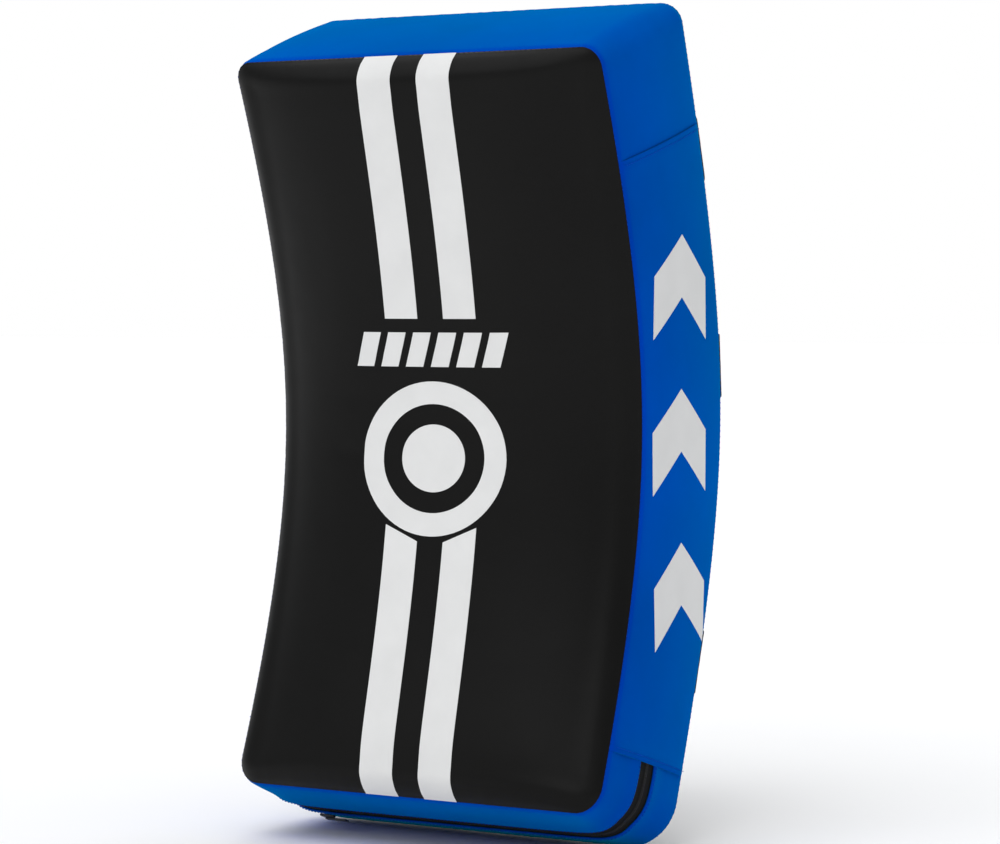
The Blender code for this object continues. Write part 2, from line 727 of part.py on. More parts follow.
def pad_rim(body, middle, width):
    """Points round the pad's rim at mid depth, each with the way out of its face and out of the rim."""
    across = Vector((1, 0, 0))
    start_way = (body[0][0] - body[1][0]).normalized()
    end_way = (body[-1][0] - body[-2][0]).normalized()
    sides = []
    for sign, run in ((1, body), (-1, body[::-1])):
        edge = across * sign
        side_run = [[p + out * middle + edge * width / 2, out, edge] for p, out in run]
        first_way, last_way = (start_way, end_way) if sign > 0 else (end_way, start_way)
        side_run[0][2] = edge + first_way
        side_run[-1][2] = edge + last_way
        end, end_out = run[-1]
        sides += side_run
        sides += [[end + end_out * middle + edge * width * s, end_out, last_way] for s in (0.25, 0, -0.25)]
    return sides


# Zip slider and pull


def zip_place(x, lift):
    """A point on the straight bottom run of the zip, lift below it, with its three directions."""
    u = x / (REAR_WIDTH / 2)
    normal = gusset_normal(u, -1)
    depth_way = (seam_point(1, u, -1) - seam_point(-1, u, -1)).normalized()
    point = gusset_point(u, -1, ZIP_MIDDLE)
    point.x = x
    return point + normal * lift, normal, depth_way


def make_slider(slider_holder, pull_holder):
    """The slider's outer plate, wide at its mouth and narrow behind, and its pull."""
    along = Vector((1, 0, 0))
    _, _, depth_way = zip_place(SLIDER_X, 0)
    grids = []
    for lift in SLIDER_LIFTS:
        rows = []
        for share, half in SLIDER_OUTLINE:
            centre = zip_place(SLIDER_X, lift)[0] + along * share * SLIDER_LENGTH
            rows.append([centre + depth_way * half * SLIDER_WIDTH * sign for sign in (-1, 1)])
        grids.append(rows)
    slab("zip_slider", grids[0], grids[1], BLACK_METAL, slider_holder)
    hinge = zip_place(SLIDER_X, PULL_LIFT)[0]
    centre = hinge + along * (PULL_SIZE[0] / 2 - 0.001)
    block("zip_pull", centre, along, depth_way, PULL_SIZE, BLACK_METAL, pull_holder)


def main():
    clear_scene()
    frame = empty_at("pad_frame", -HOLD)
    frame["pad_place"] = (0, 0, 0)

    def holder_at(name, place):
        made = empty_at(name, place, frame)
        made["pad_place"] = tuple(place)
        return made

    make_cover("front_cover_panel", -1, frame)
    make_cover("rear_cover_panel", 1, frame)
    make_gusset(frame)
    make_foams(frame)
    make_bands(frame)
    make_label(frame)
    handle_axis = back_point(HANDLE_X, BANDS["top_band"], BAND_LIFT + WEBBING + 0.006)
    make_handle(frame, holder_at("grab_handle_hinge", handle_axis))
    for side, x in LOOPS.items():
        frames = loop_route(x)
        swing = holder_at(f"{side}_loop_hinge", frames[SWING_STEP][0])
        swivel = holder_at(f"{side}_ring_hinge", back_point(x, *RING_TOP))
        make_loop(side, x, frame, swing, swivel)
    slider = holder_at("zip_slide", zip_place(SLIDER_X, 0)[0])
    pull = holder_at("zip_pull_hinge", zip_place(SLIDER_X, PULL_LIFT)[0])
    make_slider(slider, pull)


main()
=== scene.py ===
"""Curved kick shield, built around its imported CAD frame: crowned leather covers with sunk seams, lapped and
top-stitched side panels, woven bands, a padded grab handle, two forearm loops on wire rings and a zip.

Metres. Shapes are worked out in the pad's own frame, whose origin is the middle of the pad (X across, -Y the
strike face, +Z up); record_frame() then moves them to the CAD's frame. Left is -X and right is +X.
"""

import math

import bmesh
import bpy
import numpy as np
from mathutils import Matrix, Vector


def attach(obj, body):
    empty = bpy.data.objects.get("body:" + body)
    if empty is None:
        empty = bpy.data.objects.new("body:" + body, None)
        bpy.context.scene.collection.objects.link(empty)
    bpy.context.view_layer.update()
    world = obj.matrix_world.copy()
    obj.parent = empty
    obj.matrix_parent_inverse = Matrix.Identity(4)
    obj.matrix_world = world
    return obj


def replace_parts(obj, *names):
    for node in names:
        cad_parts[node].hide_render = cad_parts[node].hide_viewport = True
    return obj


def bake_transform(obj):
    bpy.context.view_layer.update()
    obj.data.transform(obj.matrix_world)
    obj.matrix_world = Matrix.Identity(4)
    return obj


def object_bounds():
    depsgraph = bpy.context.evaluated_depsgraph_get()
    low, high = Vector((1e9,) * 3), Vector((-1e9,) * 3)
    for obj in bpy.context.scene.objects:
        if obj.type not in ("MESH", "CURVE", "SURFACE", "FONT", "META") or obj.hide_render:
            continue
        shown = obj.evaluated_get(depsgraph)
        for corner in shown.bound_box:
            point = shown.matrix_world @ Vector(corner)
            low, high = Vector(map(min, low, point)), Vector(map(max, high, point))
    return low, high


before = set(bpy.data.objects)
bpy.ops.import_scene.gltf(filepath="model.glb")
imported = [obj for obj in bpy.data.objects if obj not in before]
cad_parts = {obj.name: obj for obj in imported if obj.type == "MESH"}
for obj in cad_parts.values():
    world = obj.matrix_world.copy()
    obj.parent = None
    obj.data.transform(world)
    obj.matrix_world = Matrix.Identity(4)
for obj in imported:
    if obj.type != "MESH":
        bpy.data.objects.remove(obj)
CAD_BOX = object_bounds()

# Driving dimensions of the pad, by side: -1 is the strike face and 1 is the back
HEIGHT = {-1: 0.661, 1: 0.760}
WIDTH = {-1: 0.380, 1: 0.384}
SAG = {-1: 0.0825, 1: 0.0941}
CURL = {-1: 3.8, 1: 4.44}
LOW_CORNER = {-1: 0.024, 1: 0.040}
TOP_CORNER = 0.018
TILT = {-1: 0.0, 1: 0.023}
THICKNESS = 0.153
EDGE_CROWN = 0.020
MIDDLE_CROWN = 0.020
TOP_SOFTNESS = 0.010
BOTTOM_SOFTNESS = 0.014
SIDE_BULGE = 0.004
END_BULGE = 0.006
HOLD = np.array([0.0, 0.139, -0.085])

# Seams on the side band, as (at the strike face, at the back) fractions of the half height
RIGHT_TOP_SEAM = (0.692, 0.712)
RIGHT_BOTTOM_SEAM = (-0.826, -0.826)
LEFT_TOP_SEAM = (0.763, 0.730)
LEFT_BOTTOM_SEAM = (-0.826, -0.784)
CORNER_HEM = (-0.986, -0.916)
ZIP_MIDDLE = 0.465
ZIP_HALF = 0.088
SEAM_DEPTH = 0.0017
SEAM_SPREAD = 0.0030
EDGE_RIDGE = 0.0026
UNDERLAP = 0.0013
LEATHER = 0.0011
LAP_LIFT = 0.0020
LAP_REACH = 0.012
LAP_OVER = 0.0035

# Webbing and what is made of it
BAND_WIDTH = 0.058
BANDS = {"top_band": 0.6565, "middle_band": 0.1390, "bottom_band": -0.5680}
BAND_LIFT = 0.0009
WEBBING = 0.0020
HANDLE_X = 0.005
HANDLE_HALF = 0.107
HANDLE_RISE = 0.034
HANDLE_DROP = 0.004
HANDLE_SQUARENESS = 4.5
HANDLE_ON_BAND = 0.0012
HANDLE_TAIL = 0.034
HANDLE_HEIGHT = 0.050
SLEEVE_HALF = 0.0995
SLEEVE_HEIGHT = 0.050
SLEEVE_DEPTH = 0.017
LOOPS = {"left": -0.102, "right": 0.096}
LOOP_WIDTH = 0.058
LOOP_ROUTE = ((0.033, 0.0270), (-0.060, 0.0500), (-0.145, 0.0630), (-0.235, 0.0670), (-0.330, 0.0630),
              (-0.410, 0.0480), (-0.455, 0.0300), (-0.478, 0.0130), (-0.486, 0.0030), (-0.505, 0.0001))

# Places along a loop's path, by step: ROUTE_STEPS of them to each leg of LOOP_ROUTE
ROUTE_STEPS = 12
RING_STEP = 5
TAIL_STEP = 40
PAD_STEPS = (11, 58)
ROW_STEPS = (16, 66)
CROSS_ROW_STEPS = (20, 38, 64)
RING_BLEND = (0, 4)
LOOP_BLEND = (5, 10)
FOOT_BLEND = (86, 70)
DRAPE_START = 74
DRAPE_STEPS = 20

PAD_WIDTH = 0.070
PAD_DEPTH = 0.011
PIPING = 0.0019
RING_TOP = (0.057, 0.0058)
RING_WIRE = 0.0019
RING_WIDTH = 0.0665
RING_BEND = 0.005
TAB_WIDTH = 0.049
TAB_REACH = 0.014

# Label on the back
LABEL_X = -0.001
LABEL_LEAN = 0.0055
LABEL_WIDTH = 0.079
LABEL_SPAN = (0.2465, 0.5085)
LABEL_BAR_SPAN = (0.2545, 0.3125)

# Height of prints over the leather, and the spacing of stitches
PRINT = (-0.00005, 0.00022)
LEATHER_PITCH = 0.0036
WEBBING_PITCH = 0.0040

# How finely surfaces are drawn
CELL = 0.0045
LABEL_CELL = 0.008
SEAM_LINES = (0.0, 0.0007, 0.0016, 0.0027, 0.0042, 0.0064)
ACROSS = np.array([1.0, 0, 0])


def record_frame(points):
    return np.asarray(points, float) - HOLD


def unit(vectors):
    return vectors / np.maximum(np.linalg.norm(vectors, axis=-1, keepdims=True), 1e-12)


def column(values):
    return np.asarray(values, float)[..., None]


def distances(points):
    """How far along a path each of its points lies."""
    return np.concatenate([[0], np.cumsum(np.linalg.norm(np.diff(points, axis=0), axis=-1))])


# The pad's surfaces, as in the CAD. u runs across and v up, both -1 to 1.


def seam_y(side, z):
    half = HEIGHT[side] / 2
    share = (np.hypot(1, CURL[side] * z) - 1) / (math.hypot(1, CURL[side] * half) - 1)
    return side * THICKNESS / 2 - SAG[side] * share + TILT[side] * z


def outward(side, z):
    """The direction square to the face's seam curve, in the YZ plane."""
    step = 1e-4
    slope = (seam_y(side, z + step) - seam_y(side, z - step)) / (2 * step)
    return unit(np.stack([0 * slope, side + 0 * slope, -side * slope], -1))


def seam_point(side, u, v):
    """A point of the flat outline with rounded corners, at the height of the seam."""
    u, v = np.broadcast_arrays(np.asarray(u, float), np.asarray(v, float))
    half_width, half_height = WIDTH[side] / 2, HEIGHT[side] / 2
    corner = np.where(v > 0, TOP_CORNER, LOW_CORNER[side])
    x, z = u * half_width, v * half_height
    over_x = (abs(x) - (half_width - corner)) / corner
    over_z = (abs(z) - (half_height - corner)) / corner
    inside = (over_x > 0) & (over_z > 0)
    round_x = half_width - corner + corner * over_x * np.sqrt(np.maximum(1 - over_z**2 / 2, 0))
    round_z = half_height - corner + corner * over_z * np.sqrt(np.maximum(1 - over_x**2 / 2, 0))
    x = np.where(inside, np.copysign(round_x, u), x)
    z = np.where(inside, np.copysign(round_z, v), z)
    return np.stack([x, seam_y(side, z), z], -1)


def rim(side, point):
    """How far a point of the outline plane is inside the rim, and the way out there, in the XZ plane."""
    x, z = point[..., 0], point[..., 2]
    corner = np.where(z > 0, TOP_CORNER, LOW_CORNER[side])
    over_x = abs(x) - WIDTH[side] / 2 + corner
    over_z = abs(z) - HEIGHT[side] / 2 + corner
    outside = np.hypot(np.maximum(over_x, 0), np.maximum(over_z, 0))
    inside = corner - outside - np.minimum(np.maximum(over_x, over_z), 0)
    way_x = np.where(outside > 1e-6, np.maximum(over_x, 0), (over_x >= over_z) * 1.0)
    way_z = np.where(outside > 1e-6, np.maximum(over_z, 0), (over_x < over_z) * 1.0)
    way = unit(np.stack([np.copysign(way_x, x), 0 * x, np.copysign(way_z, z)], -1))
    return np.maximum(inside, 0), way


def crown(side, u, v):
    softness = np.where(np.asarray(v) > 0, TOP_SOFTNESS, BOTTOM_SOFTNESS)
    from_end = HEIGHT[side] / 2 * (1 - abs(v)) * 1.1
    rise = EDGE_CROWN * (1 - np.exp(-from_end / softness)) + MIDDLE_CROWN * (1 - v * v)
    return rise * (1 - abs(u) ** 4)


def pucker(way, point, inside):
    """Small uneven gathers along a seam, which die away from it."""
    along = point[..., 0] * way[..., 2] - point[..., 2] * way[..., 0]
    waves = np.sin(along * 463 + 1.3) + 0.7 * np.sin(along * 211 + 0.4) + 0.5 * np.sin(along * 877)
    return 0.00022 * waves * np.exp(-inside / 0.009) * (1 - np.exp(-inside / 0.0015))


def sink(side, point, inside, way):
    """How a seam pulls both of its panels into the pad."""
    pull = SEAM_DEPTH * np.exp(-((inside / SEAM_SPREAD) ** 2))
    return -(outward(side, point[..., 2]) * 0.6 + way * 0.8) * column(pull)


def face_point(side, u, v):
    base = seam_point(side, u, v)
    return base + outward(side, base[..., 2]) * column(crown(side, u, v))


def cover_skin(side, u, v):
    """A point of the finished cover: the crowned face, swollen by its filling and sunk at its seams."""
    u, v = np.broadcast_arrays(np.asarray(u, float), np.asarray(v, float))
    base = seam_point(side, u, v)
    inside, way = rim(side, base)
    point = face_point(side, u, v) + SWELL.at_face(side, u, v)
    ridge = EDGE_RIDGE * np.exp(-(((inside - 0.013) / 0.009) ** 2))
    point = point + sink(side, base, inside, way)
    return point + outward(side, base[..., 2]) * column(pucker(way, base, inside) + ridge)


def cover_point(side, u, v, lift=0.0):
    if np.all(np.asarray(lift) == 0):
        return cover_skin(side, u, v)
    return cover_skin(side, u, v) + cover_normal(side, u, v) * column(lift)


def cover_normal(side, u, v):
    step = 4e-3
    across = cover_skin(side, np.minimum(u + step, 1), v) - cover_skin(side, np.maximum(u - step, -1), v)
    upward = cover_skin(side, u, np.minimum(v + step, 1)) - cover_skin(side, u, np.maximum(v - step, -1))
    return unit(np.cross(across, upward)) * -side


def uv_at(a):
    """A place on the rim: a is -1 to 1 up the right, then to 3 over the top, 5 down the left, 7 below."""
    a = (np.asarray(a, float) + 1) % 8 - 1
    u = np.select([a <= 1, a <= 3, a <= 5], [1 + 0 * a, 2 - a, -1 + 0 * a], a - 6)
    v = np.select([a <= 1, a <= 3, a <= 5], [a, 1 + 0 * a, 4 - a], -1 + 0 * a)
    return u, v


def band_normal(a):
    step = 1e-3
    ahead = seam_point(1, *uv_at(a + step)) - seam_point(1, *uv_at(a - step))
    depth_way = seam_point(1, *uv_at(a)) - seam_point(-1, *uv_at(a))
    return unit(np.cross(depth_way, ahead))


def band_point(a, depth, lift=0.0):
    """A point of the side band. depth is 0 at the strike face and 1 at the back."""
    a, depth = np.broadcast_arrays(np.asarray(a, float), np.asarray(depth, float))
    u, v = uv_at(a)
    front, rear = seam_point(-1, u, v), seam_point(1, u, v)
    normal = band_normal(a)
    bulge = np.where(abs(v) >= 1, END_BULGE * (1 - u**8), SIDE_BULGE * (1 - v**8))
    bulge = bulge * 4 * depth * (1 - depth)
    length = np.linalg.norm(rear - front, axis=-1)
    point = front + (rear - front) * column(depth) + normal * column(bulge + lift)
    point = point + SWELL.at_band(a, depth)
    for side, base, inside in ((-1, front, depth * length), (1, rear, (1 - depth) * length)):
        way = rim(side, base)[1]
        point = point + sink(side, base, inside, way) + normal * column(pucker(way, base, inside))
    return point


def band_length(a):
    u, v = uv_at(a)
    return np.linalg.norm(seam_point(1, u, v) - seam_point(-1, u, v), axis=-1)


# The filling's swell, from a cloth simulation of the whole cover pinned at its seams and bands


class Swell:
    """Where the simulated cover moved, on coarse grids, read back smoothly at any place."""

    across, up, deep = 41, 75, 17
    cap, share = 0.0030, 0.75

    def __init__(self):
        self.faces = {}
        self.band = None

    def at_face(self, side, u, v):
        if side not in self.faces:
            return 0.0
        return smooth_read(self.faces[side], (v + 1) / 2 * (self.up - 1), (u + 1) / 2 * (self.across - 1))

    def at_band(self, a, depth):
        if self.band is None:
            return 0.0
        steps = np.append(self.stations(), 7.0)
        place = np.interp((a + 1) % 8 - 1, steps, np.arange(len(steps)))
        return smooth_read(self.band, place, depth * (self.deep - 1), wrap=True)

    def stations(self):
        sides = np.linspace(0, 2, self.up)[:-1]
        ends = np.linspace(0, 2, self.across)[:-1]
        return np.concatenate([sides - 1, ends + 1, sides + 3, ends + 5])

    def rim_index(self):
        """The face grid's own index for each station round the rim."""
        rows, columns = self.up, self.across
        right = [(i, columns - 1) for i in range(rows - 1)]
        top = [(rows - 1, j) for j in range(columns - 1, 0, -1)]
        left = [(i, 0) for i in range(rows - 1, 0, -1)]
        bottom = [(0, j) for j in range(columns - 1)]
        return np.array([i * columns + j for i, j in right + top + left + bottom])

    def simulate(self):
        rows, columns, deep = self.up, self.across, self.deep
        v, u = np.meshgrid(np.linspace(-1, 1, rows), np.linspace(-1, 1, columns), indexing="ij")
        stations = self.stations()
        depths = np.linspace(0, 1, deep)
        a, d = np.meshgrid(stations, depths[1:-1], indexing="ij")
        points = np.concatenate([face_point(-1, u, v).reshape(-1, 3), face_point(1, u, v).reshape(-1, 3),
                                 band_point(a, d).reshape(-1, 3)])
        face_count = rows * columns
        ring = self.rim_index()
        inner = np.arange(len(stations) * (deep - 2)).reshape(len(stations), -1) + 2 * face_count
        around = np.concatenate([ring[:, None], inner, ring[:, None] + face_count], 1)
        quads = []
        for side, start in ((-1, 0), (1, face_count)):
            grid = np.arange(face_count).reshape(rows, columns) + start
            quads += grid_quads(grid, flip=side > 0)
        closed = np.concatenate([around, around[:1]])
        quads += grid_quads(closed, flip=False)
        pins = set(ring.tolist()) | set((ring + face_count).tolist())
        for level in BANDS.values():
            half = BAND_WIDTH / HEIGHT[1]
            pins |= set((np.flatnonzero(abs(v.reshape(-1) - level) < half * 1.1) + face_count).tolist())
        for seam in (RIGHT_TOP_SEAM, RIGHT_BOTTOM_SEAM):
            pins |= set(around[abs(stations - np.mean(seam)).argmin()].tolist())
        for seam in (LEFT_TOP_SEAM, LEFT_BOTTOM_SEAM, CORNER_HEM):
            pins |= set(around[abs(stations - 4 + np.mean(seam)).argmin()].tolist())
        moved = inflate("cover_trial", points, quads, pins, frames=20, pressure=4.0) - points
        size = np.linalg.norm(moved, axis=-1, keepdims=True)
        moved = moved * self.share * self.cap / (self.cap + size)
        self.faces[-1] = moved[:face_count].reshape(rows, columns, 3)
        self.faces[1] = moved[face_count : 2 * face_count].reshape(rows, columns, 3)
        self.band = moved[around]


def smooth_read(grid, rows, columns, wrap=False):
    """Catmull-Rom reading of a grid of vectors at fractional rows and columns."""
    rows, columns = np.broadcast_arrays(np.asarray(rows, float), np.asarray(columns, float))
    total = 0.0
    row, column_low = np.floor(rows).astype(int), np.floor(columns).astype(int)
    row_part, column_part = rows - row, columns - column_low
    for i, row_weight in zip(range(-1, 3), spline_weights(row_part)):
        at_row = (row + i) % len(grid) if wrap else np.clip(row + i, 0, len(grid) - 1)
        for j, column_weight in zip(range(-1, 3), spline_weights(column_part)):
            at_column = np.clip(column_low + j, 0, grid.shape[1] - 1)
            total = total + grid[at_row, at_column] * column(row_weight * column_weight)
    return total


def spline_weights(t):
    return ((-t + 2 * t**2 - t**3) / 2, (2 - 5 * t**2 + 3 * t**3) / 2,
            (t + 4 * t**2 - 3 * t**3) / 2, (-(t**2) + t**3) / 2)


def grid_quads(grid, flip):
    corners = (grid[:-1, :-1], grid[:-1, 1:], grid[1:, 1:], grid[1:, :-1])
    quads = np.stack([c.reshape(-1) for c in corners], -1)
    return (quads[:, ::-1] if flip else quads).tolist()


def inflate(name, points, faces, pins, frames, pressure):
    """Where a mesh's points go in Blender's cloth, with inner pressure and no gravity."""
    mesh = bpy.data.meshes.new(name)
    mesh.from_pydata(points.tolist(), [], faces)
    obj = bpy.data.objects.new(name, mesh)
    bpy.context.scene.collection.objects.link(obj)
    group = obj.vertex_groups.new(name="pins")
    group.add(sorted(pins), 1.0, "REPLACE")
    cloth = obj.modifiers.new("cloth", "CLOTH")
    settings = cloth.settings
    settings.quality = 6
    settings.mass = 0.3
    settings.tension_stiffness = 18
    settings.compression_stiffness = 18
    settings.bending_stiffness = 1.5
    settings.air_damping = 4
    settings.use_pressure = True
    settings.uniform_pressure_force = pressure
    settings.effector_weights.gravity = 0
    settings.vertex_group_mass = "pins"
    cloth.collision_settings.use_collision = False
    cloth.point_cache.frame_start = 1
    cloth.point_cache.frame_end = frames
    scene = bpy.context.scene
    for step in range(1, frames + 1):
        scene.frame_set(step)
    shape = obj.evaluated_get(bpy.context.evaluated_depsgraph_get()).to_mesh()
    moved = np.empty(len(points) * 3)
    shape.vertices.foreach_get("co", moved)
    bpy.data.objects.remove(obj)
    scene.frame_set(1)
    return moved.reshape(-1, 3)


SWELL = Swell()


# Meshes


def make_object(name, points, faces, look, body, cloth=None, smooth=40):
    mesh = bpy.data.meshes.new(name)
    mesh.from_pydata(record_frame(points).reshape(-1, 3).tolist(), [], faces)
    if cloth is not None:
        held = mesh.attributes.new("cloth", "FLOAT_VECTOR", "POINT")
        flat = np.zeros((len(mesh.vertices), 3), np.float32)
        flat[:, :2] = np.asarray(cloth, np.float32).reshape(-1, 2)
        held.data.foreach_set("vector", flat.reshape(-1))
    return place_mesh(name, mesh, look, body, smooth)


def place_mesh(name, mesh, look, body, smooth=40):
    """A piece from its mesh, riding on a body if one is given."""
    mesh.shade_smooth()
    mesh.set_sharp_from_angle(angle=math.radians(smooth))
    mesh.materials.append(look)
    obj = bpy.data.objects.new(name, mesh)
    bpy.context.scene.collection.objects.link(obj)
    if body:
        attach(obj, body)
    return obj


def sheet_object(name, points, look, body, flip=False, thick=LEATHER, cloth=None):
    """A sheet of leather over a grid of points, thickened inwards."""
    rows, columns = points.shape[:2]
    quads = grid_quads(np.arange(rows * columns).reshape(rows, columns), flip)
    obj = make_object(name, points, quads, look, body, cloth)
    shell = obj.modifiers.new("thickness", "SOLIDIFY")
    shell.thickness = thick
    shell.offset = -1
    return obj


def slab_object(name, outer, inner, look, slot, body, cloth=None, flip=False):
    """A closed solid between two grids of points of the same size."""
    rows, columns = outer.shape[:2]
    count = rows * columns
    top = np.arange(count).reshape(rows, columns)
    quads = grid_quads(top, flip) + grid_quads(top + count, not flip)
    edge = np.concatenate([top[0, :-1], top[:-1, -1], top[-1, :0:-1], top[:0:-1, 0]])
    for k, a in enumerate(edge.tolist()):
        b = int(edge[(k + 1) % len(edge)])
        quad = (a, a + count, b + count, b)
        quads.append(quad[::-1] if flip else quad)
    both = None if cloth is None else np.concatenate([cloth.reshape(-1, 2)] * 2)
    points = np.concatenate([outer.reshape(-1, 3), inner.reshape(-1, 3)])
    return make_object(name, points, quads, look, body, both)


def loft_object(name, rings, look, body, cloth=None, closed=False, smooth=50):
    """A solid through closed rings of points, capped unless its ends meet."""
    rings = np.asarray(rings, float)
    count, sides = rings.shape[:2]
    grid = np.arange(count * sides).reshape(count, sides)
    grid = np.concatenate([grid, grid[:, :1]], 1)
    if closed:
        grid = np.concatenate([grid, grid[:1]])
    faces = grid_quads(grid, flip=False)
    if not closed:
        faces.append(list(range(sides)))
        faces.append(list(range((count - 1) * sides, count * sides))[::-1])
    obj = make_object(name, rings.reshape(-1, 3), faces, look, body, cloth, smooth)
    face_outwards(obj.data)
    return obj


def face_outwards(mesh):
    work = bmesh.new()
    work.from_mesh(mesh)
    bmesh.ops.recalc_face_normals(work, faces=work.faces)
    work.to_mesh(mesh)
    work.free()


def graded(length, ends=(True, True), cell=CELL):
    """Distances from 0 to length, even but closer together where an end is a seam."""
    low = SEAM_LINES if ends[0] else (0.0,)
    high = SEAM_LINES if ends[1] else (0.0,)
    start, stop = low[-1], length - high[-1]
    count = max(int(round((stop - start) / cell)), 1)
    middle = np.linspace(start, stop, count + 1)
    return np.concatenate([low[:-1], middle, length - np.array(high[:-1])[::-1]])


def inlay(name, loops, place, lifts, look, body, cell=0.005):
    """A flat outline, with any holes, laid on a surface: place(s, t, lift) gives its points."""
    work = bmesh.new()
    for loop in loops:
        verts = [work.verts.new((s, t, 0)) for s, t in loop]
        for k, vert in enumerate(verts):
            work.edges.new((vert, verts[(k + 1) % len(verts)]))
    bmesh.ops.triangle_fill(work, use_beauty=True, use_dissolve=False, edges=work.edges[:])
    spots = np.array([vert.co[:2] for vert in work.verts])
    for axis in (0, 1):
        low, high = spots[:, axis].min(), spots[:, axis].max()
        normal = (1, 0, 0) if axis == 0 else (0, 1, 0)
        for line in np.arange(math.floor(low / cell) + 1, math.ceil(high / cell)) * cell:
            parts = work.verts[:] + work.edges[:] + work.faces[:]
            centre = (line, 0, 0) if axis == 0 else (0, line, 0)
            bmesh.ops.bisect_plane(work, geom=parts, dist=1e-6, plane_co=centre, plane_no=normal)
    made = bmesh.ops.extrude_face_region(work, geom=work.faces[:])["geom"]
    for vert in made:
        if isinstance(vert, bmesh.types.BMVert):
            vert.co.z = 1
    flat = np.array([vert.co[:] for vert in work.verts])
    lift = np.where(flat[:, 2] > 0.5, lifts[1], lifts[0])
    points = record_frame(place(flat[:, 0], flat[:, 1], lift))
    for vert, point in zip(work.verts, points):
        vert.co = point
    bmesh.ops.recalc_face_normals(work, faces=work.faces[:])
    mesh = bpy.data.meshes.new(name)
    work.to_mesh(mesh)
    work.free()
    return place_mesh(name, mesh, look, body)


def rounded_box(left, low, right, high, radius, steps=5):
    """A rectangle's outline with round corners."""
    points = []
    for cx, cz, start in ((right - radius, high - radius, 0), (left + radius, high - radius, 90),
                          (left + radius, low + radius, 180), (right - radius, low + radius, 270)):
        for k in range(steps + 1):
            turn = math.radians(start + 90 * k / steps)
            points.append((cx + radius * math.cos(turn), cz + radius * math.sin(turn)))
    return points


def circle(cx, cz, radius, steps=72):
    return [(cx + radius * math.cos(math.tau * k / steps), cz + radius * math.sin(math.tau * k / steps))
            for k in range(steps)]


# Stitching


def stitch_run(points, normals, pitch, length=0.62):
    """Where each stitch of one row lies: (middle, along, normal, half length) for every pitch of the path."""
    points = np.asarray(points, float)
    normals = np.asarray(normals, float)
    steps = distances(points)
    count = max(int(steps[-1] / pitch), 1)
    places = (np.arange(count) + 0.5) * steps[-1] / count
    middle = np.stack([np.interp(places, steps, points[:, k]) for k in range(3)], -1)
    ahead = np.stack([np.interp(places + pitch / 4, steps, points[:, k]) for k in range(3)], -1)
    behind = np.stack([np.interp(places - pitch / 4, steps, points[:, k]) for k in range(3)], -1)
    normal = np.stack([np.interp(places, steps, normals[:, k]) for k in range(3)], -1)
    half = np.full(count, steps[-1] / count * length / 2)
    return middle, unit(ahead - behind), unit(normal), half


def crossed_box(low, high, half):
    """The legs of a sewn box with a cross in it, as pairs of its corners."""
    corners = [(low, -half), (high, -half), (high, half), (low, half), (low, -half), (high, half)]
    return [*zip(corners, corners[1:]), ((low, half), (high, -half))]


def stitches(name, runs, radius, look="black_thread", body="shield"):
    """Many short threads in one mesh, each arched so that its ends dip into the fabric."""
    sides = 6
    profile = ((-1.0, 0.15, -0.9), (-0.8, 0.75, -0.1), (-0.3, 1.0, 0.35),
               (0.3, 1.0, 0.35), (0.8, 0.75, -0.1), (1.0, 0.15, -0.9))
    middle, along, normal, half = (np.concatenate(part) for part in zip(*runs))
    across = np.cross(along, normal)
    rings = []
    for share, size, height in profile:
        centre = middle + along * column(share * half) + normal * (height * radius)
        for k in range(sides):
            turn = math.tau * k / sides
            way = across * math.cos(turn) + normal * math.sin(turn)
            rings.append(centre + way * radius * size)
    points = np.stack(rings, 1)
    count, per = points.shape[:2]
    template = np.arange(per).reshape(len(profile), sides)
    template = np.concatenate([template, template[:, :1]], 1)
    quads = np.array(grid_quads(template, flip=True))
    caps = np.array([template[0, :sides], template[-1, sides - 1 :: -1]])
    offsets = (np.arange(count) * per)[:, None, None]
    faces = (quads[None] + offsets).reshape(-1, 4).tolist()
    faces += (caps[None] + offsets).reshape(-1, sides).tolist()
    obj = make_object(name, points.reshape(-1, 3), faces, LOOKS[look], body, smooth=60)
    face_outwards(obj.data)
    return obj


# Materials


